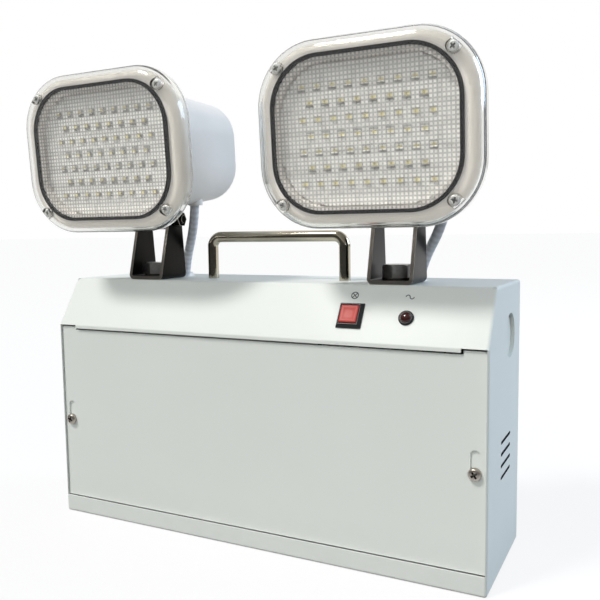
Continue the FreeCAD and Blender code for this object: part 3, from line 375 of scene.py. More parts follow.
class Nodes:
    """The node tree of a material or world, while it is put together."""

    def __init__(self, tree):
        self.tree = tree
        tree.nodes.clear()

    def add(self, kind, settings=None, inputs=None, output=0):
        """Adds one node, with its settings and the values or links of its sockets. Returns an output."""
        node = self.tree.nodes.new(kind)
        for key, value in (settings or {}).items():
            setattr(node, key, value)
        for key, value in (inputs or {}).items():
            if isinstance(value, Socket):
                self.tree.links.new(value.socket, node.inputs[key])
            else:
                node.inputs[key].default_value = value
        return Socket(self, node.outputs[output]) if node.outputs else None

    def spot(self, stretch=None):
        """Object coordinates, stretched if asked."""
        spot = self.add("ShaderNodeTexCoord", output="Object")
        if stretch:
            spot = self.add("ShaderNodeMapping", None, {"Vector": spot, "Scale": stretch})
        return spot

    def math(self, operation, *terms):
        return self.add("ShaderNodeMath", {"operation": operation}, dict(enumerate(terms)))

    def part(self, vector, axis):
        """One coordinate of a vector."""
        return self.add("ShaderNodeSeparateXYZ", None, {0: vector}, "XYZ".index(axis))

    def ray(self, kind):
        """One for rays of a kind, nought for others."""
        return self.add("ShaderNodeLightPath", output=f"Is {kind} Ray")

    def noise(self, scale, detail=2.0, stretch=None):
        spot = self.spot(stretch)
        return self.add("ShaderNodeTexNoise", None, {"Vector": spot, "Scale": scale, "Detail": detail})

    def blend(self, first, second, factor):
        """A colour between two others."""
        return self.add("ShaderNodeMix", {"data_type": "RGBA"}, {0: factor, 6: first, 7: second}, 2)

    def bump(self, height, strength, distance=GRAIN_DEPTH):
        inputs = {"Height": height, "Strength": strength, "Distance": distance}
        return self.add("ShaderNodeBump", None, inputs)

    def mix(self, first, second, factor):
        """A shader between two others."""
        return self.add("ShaderNodeMixShader", None, {0: factor, 1: first, 2: second})

    def close(self, shader, kind="Material"):
        self.add(f"ShaderNodeOutput{kind}", None, {"Surface": shader})

    def surface(self, inputs):
        self.close(self.add("ShaderNodeBsdfPrincipled", None, inputs))


def tone(rgb, gain=1.0):
    """A colour made lighter or darker, with full alpha."""
    return (*[min(1.0, value * gain) for value in rgb], 1.0)


def enamel(nodes, rgb):
    """Baked enamel: slightly clouded, with a faint orange peel and a foot that is darker and rougher in patches.
    """
    cloud = nodes.noise(scale=11.0, detail=3.0)
    height = nodes.part(nodes.spot(), "Z")
    # Darker and rougher in patches towards the bottom of the case
    darker_foot = (1.0 - height / DARKER_FOOT_HEIGHT).clamped() * nodes.noise(scale=90.0, detail=4.0)
    clean = nodes.blend(tone(rgb, 0.965), tone(rgb, 1.02), cloud)
    nodes.surface({
        "Base Color": nodes.blend(clean, tone(rgb, 0.80), darker_foot * 0.45),
        "Roughness": 0.43 + 0.10 * cloud + 0.15 * darker_foot,
        "Normal": nodes.bump(nodes.noise(scale=520.0), strength=0.10),
        "Coat Weight": 0.02,
        "Coat Roughness": 0.12,
        "Specular IOR Level": 0.22,
    })


def moulded(nodes, rgb, roughness=0.38, grain=1500.0, relief=0.10, coat=0.0, shine=0.5):
    """Moulded plastic: a fine spark-eroded grain and uneven gloss."""
    flow = nodes.noise(scale=24.0, detail=3.0)
    nodes.surface({
        "Base Color": nodes.blend(tone(rgb, 0.94), tone(rgb, 1.04), flow),
        "Roughness": (roughness - 0.06) + 0.12 * flow,
        "Normal": nodes.bump(nodes.noise(grain, detail=1.0), relief),
        "Coat Weight": coat,
        "Coat Roughness": 0.08,
        "Specular IOR Level": shine,
    })


def drawn_metal(nodes, rgb, roughness=0.26, stretch=(900.0, 900.0, 25.0), relief=0.05, contrast=0.27,
                metallic=1.0):
    """Drawn or rolled metal: fine streaks one way, with duller patches."""
    streak = nodes.noise(scale=1.0, detail=3.0, stretch=stretch)
    patch = nodes.noise(scale=45.0, detail=3.0)
    wear = streak * 0.6 + patch * 0.4
    nodes.surface({
        "Base Color": nodes.blend(tone(rgb, 1 - contrast), tone(rgb, 1 + contrast), wear),
        "Metallic": metallic,
        "Roughness": (roughness - 0.09) + 0.10 * streak + 0.08 * patch,
        "Normal": nodes.bump(streak, relief),
    })


def clear_moulding(nodes, rgb, roughness=0.02, passing=1.0):
    """Clear plastic with faint flow marks, which a share of the lamps' light passes."""
    flow = nodes.noise(scale=38.0)
    plastic = nodes.add("ShaderNodeBsdfPrincipled", None, {
        "Base Color": nodes.blend(tone(rgb, 0.97), tone(rgb, 1.02), flow),
        "Roughness": roughness + 0.03 * flow,
        "IOR": 1.49,
        "Transmission Weight": 1.0,
        "Normal": nodes.bump(flow, strength=0.03, distance=0.0004),
    })
    passed = nodes.add("ShaderNodeBsdfTransparent", None, {"Color": tone(rgb, passing)})
    nodes.close(nodes.mix(plastic, passed, nodes.ray("Shadow")))


def ribbed_sheath(nodes, rgb, pitch):
    """Soft sheath that shows the wrap of its cores, by the distance along the lead."""
    along = nodes.add("ShaderNodeAttribute", {"attribute_name": "along"}, None, "Fac")
    wrap = (along * (2 * math.pi / pitch)).math("SINE") * 0.5 + 0.5
    mottle = nodes.noise(scale=160.0, detail=3.0)
    nodes.surface({
        "Base Color": nodes.blend(tone(rgb, 0.66), tone(rgb, 1.18), wrap * 0.35 + mottle * 0.65),
        "Roughness": 0.36 + 0.16 * mottle,
        "Normal": nodes.bump(wrap + 1.5 * mottle, strength=0.25, distance=0.0006),
    })


def traced_board(nodes, rgb, pitch, contrast, roughness=0.42):
    """A circuit board: copper tracks that show through its solder mask."""
    spot = nodes.spot((1.0, 0.0, 1.0))
    track = nodes.add("ShaderNodeTexBrick", {"offset": 0.5}, {
        "Vector": nodes.add("ShaderNodeMapping", None, {"Vector": spot, "Rotation": FRONT}),
        "Color1": (1, 1, 1, 1), "Color2": (0.7, 0.7, 0.7, 1), "Mortar": (0, 0, 0, 1),
        "Scale": 1.0, "Mortar Size": pitch * 0.09, "Brick Width": pitch, "Row Height": pitch * 0.6})
    nodes.surface({
        "Base Color": nodes.blend(tone(rgb, 1.0 - contrast), tone(rgb, 1.05), track),
        "Roughness": roughness + 0.1 * nodes.noise(scale=120.0),
        "Normal": nodes.bump(track, strength=0.15, distance=0.0001),
    })


def laminated(nodes, rgb):
    """A stack of thin steel sheets, seen on edge."""
    sheet = nodes.part(nodes.spot(), "Y").math("PINGPONG", CORE_SHEET) / CORE_SHEET
    rust = nodes.noise(scale=130.0, detail=4.0)
    nodes.surface({
        "Base Color": nodes.blend(tone(rgb, 0.55), tone(rgb, 1.25), sheet * 0.6 + rust * 0.4),
        "Metallic": 0.8,
        "Roughness": 0.45 + 0.2 * rust,
        "Normal": nodes.bump(sheet, strength=0.4, distance=0.0003),
    })


def even(scale):
    """The setting for a metal with no drawn direction."""
    return {"stretch": (scale, scale, scale)}


def finish(slot):
    """The material for one of the record's finishes, or one of the scene's own, made at its first use."""
    name = f"{slot}_finish"
    if name in bpy.data.materials:
        return bpy.data.materials[name]
    light = bpy.context.scene.emergency_light
    c = light.colours
    recipes = {
        "case_paint": (enamel, c.paint, {}),
        "plated_steel": (drawn_metal, c.plated, {"roughness": 0.36, "contrast": 0.5, **even(400)}),
        "pale_zinc": (drawn_metal, c.zinc, {"roughness": 0.46, "metallic": 0.35, **even(400)}),
        # Near-black vent edges: painted shade inside the slots
        "cut_edge": (moulded, c.cut, {"roughness": 0.6, "shine": 0.2}),
        # Dark steel of the pan washers, also painted shade in the cover screws' recesses
        "dark_steel": (drawn_metal, c.dark, {"roughness": 0.30, "contrast": 0.7, **even(320)}),
        "worn_steel": (drawn_metal, c.worn, {"roughness": 0.34, **even(320)}),
        # The handle's strong light and dark streaks along the rod are painted reflections over its drawn grain
        "bright_steel": (drawn_metal, c.nickel, {"roughness": 0.11, "stretch": (30, 1500, 30),
                                                 "relief": 0.03, "contrast": 0.6}),
        "yoke_steel": (drawn_metal, c.yoke, {"roughness": 0.30}),
        "black_plastic": (moulded, c.black, {"roughness": 0.34, "shine": 0.25}),
        "red_plastic": (moulded, c.red, {"roughness": 0.42, "relief": 0.03, "shine": 0.25}),
        "indicator_red": (moulded, c.ruby, {"roughness": 0.14, "relief": 0.01, "coat": 0.25}),
        "white_plastic": (moulded, c.housing, {"roughness": 0.40}),
        "clear_plastic": (clear_moulding, c.clear, {"passing": 0.22}),
        "lens_window": (clear_moulding, c.window, {}),
        # Grey-tinted grooves: painted shade between the prisms
        "lens_groove": (clear_moulding, c.groove, {"roughness": 0.25}),
        "seal_rubber": (moulded, c.rubber, {"roughness": 0.6, "relief": 0.2, "shine": 0.1}),
        "lead_sheath": (ribbed_sheath, c.sheath, {"pitch": light.lead.rib}),
        "lamp_board": (traced_board, c.board, {"pitch": 0.020, "contrast": 0.10}),
        "lamp_body": (moulded, c.chip, {"roughness": 0.5}),
        "lamp_phosphor": (moulded, c.phosphor, {"roughness": 0.6, "grain": 4000.0}),
        "lamp_pad": (moulded, c.pad, {"roughness": 0.5, "grain": 3000.0}),
        "ink": (moulded, c.ink, {"roughness": 0.55, "grain": 3000.0}),
        "battery_case": (moulded, c.battery, {"roughness": 0.45, "relief": 0.2}),
        "brass_tab": (drawn_metal, c.brass, {"roughness": 0.3, **even(300)}),
        "core_steel": (laminated, c.lamination, {}),
        "winding": (moulded, c.tape, {"roughness": 0.35, "grain": 700.0}),
        "board_green": (traced_board, c.mask, {"pitch": 0.008, "contrast": 0.45, "roughness": 0.3}),
        "sink_metal": (drawn_metal, c.sink, {"roughness": 0.4}),
        "relay_plastic": (moulded, c.relay, {"roughness": 0.3}),
    }
    recipe, rgb, settings = recipes[slot]
    material = bpy.data.materials.new(name)
    material.use_nodes = True
    recipe(Nodes(material.node_tree), rgb, **settings)
    return material


def activate(piece):
    """Selects one object alone."""
    bpy.ops.object.select_all(action="DESELECT")
    piece.select_set(True)
    bpy.context.view_layer.objects.active = piece
    return piece


def reopen(piece):
    """Opens a piece for editing again."""
    activate(piece)
    bpy.ops.object.mode_set(mode="EDIT")


def soften(piece, degrees):
    """Smooths a piece where its faces meet at less than an angle."""
    activate(piece)
    bpy.ops.object.shade_smooth_by_angle(angle=math.radians(degrees))
    return piece


def begin(name, add, scale=(1, 1, 1), **placing):
    """Adds a primitive at its size and place, and opens it for editing."""
    bpy.ops.object.select_all(action="DESELECT")
    add(**placing)
    piece = bpy.context.object
    piece.name = piece.data.name = name
    piece.scale = scale
    bpy.ops.object.transform_apply()
    bpy.ops.object.mode_set(mode="EDIT")
    bpy.ops.mesh.select_mode(type="VERT")
    bpy.ops.mesh.select_all(action="SELECT")
    return piece


def end(piece, smooth=None):
    """Closes a piece's editing with its normals out, and smooths it up to an angle."""
    bpy.ops.mesh.select_all(action="SELECT")
    bpy.ops.mesh.remove_doubles(threshold=TOUCHING)
    bpy.ops.mesh.normals_make_consistent(inside=False)
    bpy.ops.object.mode_set(mode="OBJECT")
    return soften(piece, smooth) if smooth else piece


def facing(direction, least=0.9):
    """A test for faces that look one way."""
    return lambda centre, normal: normal.dot(direction) > least


def pick_faces(piece, test):
    """Selects just the faces that pass a test on their centre and normal."""
    bpy.ops.mesh.select_mode(type="FACE")
    mesh = bmesh.from_edit_mesh(piece.data)
    found = 0
    for face in mesh.faces:
        chosen = test(face.calc_center_median(), face.normal)
        face.select_set(chosen)
        found += chosen
    mesh.select_flush_mode()
    bmesh.update_edit_mesh(piece.data)
    if not found:
        raise RuntimeError(f"{piece.name}: no face passes the test")


def pick_vertices(piece, test):
    """Selects just the vertices that pass a test on their place."""
    bpy.ops.mesh.select_mode(type="VERT")
    mesh = bmesh.from_edit_mesh(piece.data)
    for vertex in mesh.verts:
        vertex.select_set(test(vertex.co))
    mesh.select_flush_mode()
    bmesh.update_edit_mesh(piece.data)


def assign(piece, look):
    """Gives what is selected one of its piece's looks."""
    piece.active_material_index = piece.data.materials.keys().index(f"{look}_finish")
    bpy.ops.object.material_slot_assign()


def recolour(piece, look, test):
    """Gives a closed piece's faces that pass a test one of its looks."""
    reopen(piece)
    pick_faces(piece, test)
    assign(piece, look)
    bpy.ops.object.mode_set(mode="OBJECT")


def push(value):
    """Extrudes what is selected."""
    bpy.ops.mesh.extrude_region_move(TRANSFORM_OT_translate={"value": value})


def modify(piece, kind, **settings):
    """Adds a modifier and applies it."""
    activate(piece)
    modifier = piece.modifiers.new(kind.title(), kind)
    for key, value in settings.items():
        setattr(modifier, key, value)
    bpy.ops.object.modifier_apply(modifier=modifier.name)
    if not piece.data.polygons:
        raise RuntimeError(f"{piece.name} has no faces after {kind}")
    return piece


def ease(piece, width, **settings):
    """Rounds a piece's sharp edges."""
    return modify(piece, "BEVEL", width=width, segments=2, limit_method="ANGLE",
                  angle_limit=math.radians(40), **settings)


def combine(piece, tool, operation):
    """Adds or cuts one closed shape with another, which is used up."""
    modify(piece, "BOOLEAN", object=tool, operation=operation, solver="EXACT")
    bpy.data.objects.remove(tool)
    return piece


def place(piece, matrix):
    """Moves a piece and puts its place into its mesh."""
    piece.matrix_world = matrix
    activate(piece)
    bpy.ops.object.transform_apply()
    return piece


def copy_of(piece, name):
    copy = bpy.data.objects.new(name, piece.data.copy())
    copy.data.name = name
    bpy.context.collection.objects.link(copy)
    return copy


def join(name, pieces):
    activate(pieces[0])
    for piece in pieces:
        piece.select_set(True)
    bpy.ops.object.join()
    pieces[0].name = pieces[0].data.name = name
    return pieces[0]


def dress(piece, *looks):
    piece.data.materials.clear()
    for look in looks:
        piece.data.materials.append(finish(look))
    return piece


def fit(piece, body, slot, *nodes):
    """Gives a piece its slot's finish if it has none, hides the solids that it stands for and hangs it on its
    body.
    """
    if not piece.data.materials:
        dress(piece, slot)
    if nodes:
        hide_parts(*nodes)
    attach(piece, body)
    return piece


def skin(node, smooth=32.0, edge=0.0, looks=None):
    """A merged, smooth copy of a solid's mesh that stands for it, with its edges eased if asked.

    A second look goes on the eased edges.
    """
    looks = looks or [SLOT_OF[node]]
    piece = dress(copy_of(frame["nodes"][node], f"{node}_skin"), *looks)
    reopen(piece)
    bpy.ops.mesh.select_all(action="SELECT")
    bpy.ops.mesh.remove_doubles(threshold=2 * TOUCHING)
    bpy.ops.mesh.customdata_custom_splitnormals_clear()
    if edge:
        bpy.ops.mesh.dissolve_limited(angle_limit=math.radians(0.4))
    bpy.ops.object.mode_set(mode="OBJECT")
    if edge:
        ease(piece, edge, material=len(looks) - 1)
    modify(soften(piece, smooth), "WEIGHTED_NORMAL", keep_sharp=True)
    return fit(piece, BODY_OF[node], SLOT_OF[node], node)


def rounded_plate(name, width, height, radius, y):
    """A flat rounded rectangle that faces the front, open for editing."""
    plate = begin(name, bpy.ops.mesh.primitive_plane_add, (width, height, 1), size=1, location=(0, y, 0),
                  rotation=FRONT)
    bpy.ops.mesh.bevel(offset=radius, affect="VERTICES", segments=14)
    return plate


def on_head(side):
    """From the lens's own frame, with its origin on the front face, to a head at rest."""
    lens = bpy.context.scene.emergency_light.lens
    return (Matrix.Translation(PIVOT[side]) @ Matrix.Rotation(lens.tilt, 4, "X")
            @ Matrix.Translation((0, -lens.ahead, lens.rise)))


def on_panel(x, up):
    """From a flat frame with its Z outward to a spot on the sloped panel."""
    panel = bpy.context.scene.emergency_light.panel
    spot = (x, panel.foot_y + up * math.cos(panel.lean), panel.foot_z + up * math.sin(panel.lean))
    return Matrix.Translation(spot) @ Matrix.Rotation(panel.lean, 4, "X")


def screw_spots(lens):
    """Where the four screws sit on a lens, across and up."""
    return [(sx * lens.screw_x, sz * lens.screw_z) for sx in (-1, 1) for sz in (-1, 1)]


def cross_screw(name, head, tall, shank, reach, looks):
    """A pan-head screw that faces the front, with its head's top at the origin.

    Its cross recess has the second look.
    """
    screw = begin(name, bpy.ops.mesh.primitive_cylinder_add, vertices=36, radius=head, depth=tall,
                  location=(0, tall / 2, 0), rotation=FRONT)
    pick_faces(screw, facing(BACK))
    bpy.ops.mesh.inset(thickness=head - shank)
    push((0, reach, 0))
    pick_faces(screw, facing(AHEAD))
    bpy.ops.mesh.bevel(offset=tall * HEAD_ROUND, segments=5, affect="EDGES")
    dress(end(screw), *looks)
    long, wide = head * CROSS_LONG, head * CROSS_WIDE
    for width, height in ((long, wide), (wide, long)):
        bar = begin("recess", bpy.ops.mesh.primitive_cube_add, (width, tall * CROSS_DEEP, height), size=1)
        assign(dress(bar, *looks), looks[1])
        pick_faces(bar, facing(BACK))
        bpy.ops.transform.resize(value=(CROSS_TAPER, 1.0, CROSS_TAPER))
        combine(screw, end(bar), "DIFFERENCE")
    return soften(screw, 35)


class EMERGENCYLIGHT_OT_leads(Operator):
    """Pale leads from the case's top into the heads, each in two lengths that meet beside the yoke"""
    bl_idname = "emergency_light.leads"
    bl_label = "Leads"
    bl_options = {"REGISTER", "UNDO"}

    def execute(self, context):
        diameter = context.scene.emergency_light.lead.diameter
        for side in SIDES:
            lower, line = self.tube(f"{side}_lead_lower", side, LOWER_LEAD, diameter)
            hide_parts(f"{side}_lead")
            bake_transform(lower)
            upper, line = self.tube(f"{side}_lead_upper", side, UPPER_LEAD, diameter)
            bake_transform(upper)
        return {"FINISHED"}

    def tube(self, name, side, points, diameter):
        """A mesh tube along one smooth curve, and the points that it follows."""
        curve = bpy.data.curves.new(name, "CURVE")
        curve.dimensions = "3D"
        curve.resolution_u = 24
        spline = curve.splines.new("NURBS")
        spline.points.add(len(points) - 1)
        for control, (x, y, z) in zip(spline.points, points):
            control.co = (x + PIVOT[side].x, y, z, 1)
        spline.order_u = 3
        spline.use_endpoint_u = True
        piece = bpy.data.objects.new(name, curve)
        bpy.context.collection.objects.link(piece)
        thread = bpy.data.meshes.new_from_object(piece)
        line = [vertex.co.copy() for vertex in thread.vertices]
        bpy.data.meshes.remove(thread)
        curve.bevel_depth = diameter / 2
        curve.bevel_resolution = 5
        curve.use_fill_caps = True
        activate(piece)
        bpy.ops.object.convert(target="MESH")
        piece = bpy.context.object
        bpy.ops.object.mode_set(mode="EDIT")
        end(piece, 40)
        along = piece.data.attributes.new("along", "FLOAT", "POINT")
        for vertex, value in zip(piece.data.vertices, along.data):
            nearest = min(range(len(line)), key=lambda i: (line[i] - vertex.co).length_squared)
            value.value = self.run(line[:nearest + 1])
        piece.data.materials.append(finish("lead_sheath"))
        return piece, line

    def run(self, line):
        return sum((b - a).length for a, b in zip(line, line[1:]))


class EMERGENCYLIGHT_OT_case(Operator):
    """Enamelled case with painted shade in its vents, sliding cover and its rails"""
    bl_idname = "emergency_light.case"
    bl_label = "Case and cover"
    bl_options = {"REGISTER", "UNDO"}

    def execute(self, context):
        case = skin("case", 40, looks=["case_paint", "cut_edge"])
        size = context.scene.emergency_light.vent
        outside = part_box("case")[1].x
        # The vents' edge faces are painted near-black: painted shade inside the slots
        recolour(case, "cut_edge", lambda centre, normal: (
            abs(normal.x) < 0.1 and outside - size.wall < abs(centre.x) < outside
            and abs(centre.y - size.middle) < size.reach and size.low < centre.z < size.high))
        skin("front_cover")
        for side in SIDES:
            skin(f"{side}_cover_rail", looks=["case_paint"])
            skin(f"{side}_lead_bush")
        return {"FINISHED"}


class EMERGENCYLIGHT_OT_cover_screws(Operator):
    """Cross-head screws that the cover slides on"""
    bl_idname = "emergency_light.cover_screws"
    bl_label = "Cover screws"
    bl_options = {"REGISTER", "UNDO"}

    def execute(self, context):
        size = context.scene.emergency_light.screw
        low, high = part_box("cover_screws")
        # The cross recess is dark steel: painted shade in the recess
        screw = cross_screw("cover_screw", size.head, size.tall, size.shank, high.y - low.y - size.tall,
                            ("worn_steel", "dark_steel"))
        height = (low.z + high.z) / 2
        copies = []
        for x, turn in zip((low.x + size.head, high.x - size.head), COVER_SCREW_TURNS):
            matrix = Matrix.Translation((x, low.y, height)) @ Matrix.Rotation(turn, 4, "Y")
            copies.append(place(copy_of(screw, "cover_screw_copy"), matrix))
        bpy.data.objects.remove(screw)
        fit(join("cover_screws_cross", copies), "box", "plated_steel", "cover_screws")
        return {"FINISHED"}


class EMERGENCYLIGHT_OT_handle(Operator):
    """Bright bent carrying handle"""
    bl_idname = "emergency_light.handle"
    bl_label = "Handle"
    bl_options = {"REGISTER", "UNDO"}

    def execute(self, context):
        # Its light and dark streaks are painted reflections
        skin("handle", 45)
        return {"FINISHED"}


class EMERGENCYLIGHT_OT_switch(Operator):
    """Black switch frame and the red test button in it"""
    bl_idname = "emergency_light.switch"
    bl_label = "Test switch"
    bl_options = {"REGISTER", "UNDO"}

    def execute(self, context):
        size = context.scene.emergency_light.panel
        spot = on_panel(size.switch_x, size.switch_up)
        fit(place(self.surround(size), spot), "box", "black_plastic", "switch_body")
        fit(place(self.button(size), spot), "test_button", "red_plastic", "test_button")
        return {"FINISHED"}

    def surround(self, size):
        """The frame with its sloped sides, and the well that the button sits in."""
        width, height = size.switch_width, size.switch_height
        piece = begin("switch_surround", bpy.ops.mesh.primitive_cube_add, (width, height, size.switch_foot),
                      size=1, location=(0, 0, size.switch_foot / 2))
        pick_faces(piece, facing(UP))
        push((0, 0, size.switch_frame - size.switch_foot))
        top_width, top_height = width - 2 * size.switch_taper, height - 2 * size.switch_taper
        bpy.ops.transform.resize(value=(top_width / width, top_height / height, 1))
        well = size.button + 2 * size.button_gap
        bpy.ops.mesh.extrude_region_move()
        bpy.ops.transform.resize(value=(well / top_width, well / top_height, 1))
        push((0, 0, -size.switch_frame - size.button_stem - size.button_travel))
        pick_faces(piece, facing(DOWN))
        bpy.ops.mesh.extrude_region_move()
        bpy.ops.transform.resize(value=(size.switch_body / width, size.switch_body / height, 1))
        push((0, 0, -size.switch_depth))
        return ease(end(piece), FRAME_EDGE)

    def button(self, size):
        """The cap, with rounded edges and a shallow dish."""
        tall = size.button_tall + size.button_stem
        piece = begin("test_button_cap", bpy.ops.mesh.primitive_cube_add, (size.button, size.button, tall),
                      size=1, location=(0, 0, size.button_tall - tall / 2))
        pick_faces(piece, facing(UP))
        bpy.ops.mesh.bevel(offset=BUTTON_EDGE, segments=4, affect="EDGES")
        pick_faces(piece, facing(UP, 0.99))
        for width, depth in BUTTON_DISH:
            bpy.ops.mesh.inset(thickness=width, depth=depth)
        return end(piece, 40)


class EMERGENCYLIGHT_OT_indicator(Operator):
    """Black bezel and unlit red dome of the indicator"""
    bl_idname = "emergency_light.indicator"
    bl_label = "Indicator"
    bl_options = {"REGISTER", "UNDO"}

    def execute(self, context):
        size = context.scene.emergency_light.panel
        spot = on_panel(size.lamp_x, size.lamp_up)
        fit(place(self.bezel(size), spot), "box", "black_plastic", "indicator_bezel")
        fit(place(self.dome(size), spot), "box", "indicator_red", "indicator_lens")
        return {"FINISHED"}

    def bezel(self, size):
        piece = begin("indicator_collar", bpy.ops.mesh.primitive_cylinder_add, vertices=48,
                      radius=size.bezel, depth=size.bezel_tall, location=(0, 0, size.bezel_tall / 2))
        pick_faces(piece, facing(DOWN))
        bpy.ops.mesh.inset(thickness=size.bezel - size.bezel_body)
        push((0, 0, -size.bezel_depth))
        pick_faces(piece, facing(UP))
        bpy.ops.mesh.bevel(offset=BEZEL_EDGE, segments=3, affect="EDGES")
        pick_faces(piece, facing(UP, 0.99))
        bpy.ops.mesh.inset(thickness=size.bezel - BEZEL_EDGE - size.dome - BEZEL_GAP)
        push((0, 0, -size.bezel_tall / 2))
        return end(piece, 35)

    def dome(self, size):
        """A disc drawn up by insets along a sphere's curve."""
        foot = size.bezel_tall / 2
        rise = size.bezel_tall + size.dome_tall - foot
        piece = begin("indicator_dome", bpy.ops.mesh.primitive_cylinder_add, vertices=48, radius=size.dome,
                      depth=DOME_FOOT, location=(0, 0, foot + DOME_FOOT / 2))
        pick_faces(piece, facing(UP))
        for before, after in zip(DOME_TURNS, DOME_TURNS[1:]):
            bpy.ops.mesh.inset(thickness=size.dome * (math.cos(before) - math.cos(after)),
                               depth=(rise - DOME_FOOT) * (math.sin(after) - math.sin(before)))
        return end(piece, 40)


class EMERGENCYLIGHT_OT_marks(Operator):
    """Plain printed marks: a lamp sign over the test button, a wave sign over the indicator"""
    bl_idname = "emergency_light.marks"
    bl_label = "Printed marks"
    bl_options = {"REGISTER", "UNDO"}

    def execute(self, context):
        size = context.scene.emergency_light.panel
        ring = self.ring(size.mark, size.stroke)
        crossed = join("mark_lamp", [ring, self.bar(size, 45), self.bar(size, -45)])
        half = size.mark / 2
        crest = self.half_ring(half, size.stroke, 1)
        trough = self.half_ring(half, size.stroke, -1)
        wave = join("mark_wave", [place(crest, Matrix.Translation((-half, 0, 0))),
                                  place(trough, Matrix.Translation((half, 0, 0)))])
        reopen(wave)
        bpy.ops.mesh.select_all(action="SELECT")
        bpy.ops.mesh.remove_doubles(threshold=TOUCHING)
        bpy.ops.object.mode_set(mode="OBJECT")
        for mark, x in ((crossed, size.switch_x), (wave, size.lamp_x)):
            modify(mark, "SOLIDIFY", thickness=INK, offset=1)
            fit(place(dress(mark, "ink"), on_panel(x, size.mark_up)), "box", "black_plastic")
        return {"FINISHED"}

    def ring(self, radius, stroke):
        piece = begin("mark_ring", bpy.ops.mesh.primitive_circle_add, vertices=48, radius=radius - stroke,
                      fill_type="NOTHING")
        bpy.ops.mesh.extrude_region_move()
        grown = radius / (radius - stroke)
        bpy.ops.transform.resize(value=(grown, grown, 1))
        return end(piece)

    def half_ring(self, radius, stroke, side):
        piece = self.ring(radius + stroke / 2, stroke)
        reopen(piece)
        bpy.ops.mesh.select_all(action="SELECT")
        bpy.ops.mesh.bisect(plane_co=(0, 0, 0), plane_no=(0, side, 0), clear_inner=True)
        return end(piece)

    def bar(self, size, turn):
        shape = (2 * size.mark - size.stroke, size.stroke, 1)
        piece = begin("mark_bar", bpy.ops.mesh.primitive_plane_add, shape, size=1)
        bpy.ops.mesh.subdivide(number_cuts=2)
        turned = Matrix.Rotation(math.radians(turn), 4, "Z")
        return place(end(piece), Matrix.Translation((0, 0, BAR_LIFT)) @ turned)


class EMERGENCYLIGHT_OT_yokes(Operator):
    """Dark steel yokes with bare cut edges, and their pan and pivot bolts"""
    bl_idname = "emergency_light.yokes"
    bl_label = "Yokes and bolts"
    bl_options = {"REGISTER", "UNDO"}

    def execute(self, context):
        skin("pan_bolts", edge=BOLT_EDGE, looks=["plated_steel", "worn_steel"])
        skin("pan_washers", edge=WASHER_EDGE, looks=["dark_steel", "worn_steel"])
        looks = ["yoke_steel", "worn_steel"]
        for side in SIDES:
            yoke = skin(f"{side}_yoke", edge=YOKE_EDGE, looks=looks)
            recolour(yoke, "worn_steel", lambda centre, normal: abs(normal.y) > 0.8)
            skin(f"{side}_pivot_bolt", edge=BOLT_EDGE, looks=looks)
            skin(f"{side}_pivot_nut", edge=BOLT_EDGE, looks=looks)
            skin(f"{side}_pivot_washers", edge=WASHER_EDGE)
        return {"FINISHED"}


class EMERGENCYLIGHT_OT_housings(Operator):
    """Moulded head housings and the bushes for their leads"""
    bl_idname = "emergency_light.housings"
    bl_label = "Housings"
    bl_options = {"REGISTER", "UNDO"}

    def execute(self, context):
        for side in SIDES:
            skin(f"{side}_housing", 40)
            skin(f"{side}_lead_gland", 40)
        return {"FINISHED"}


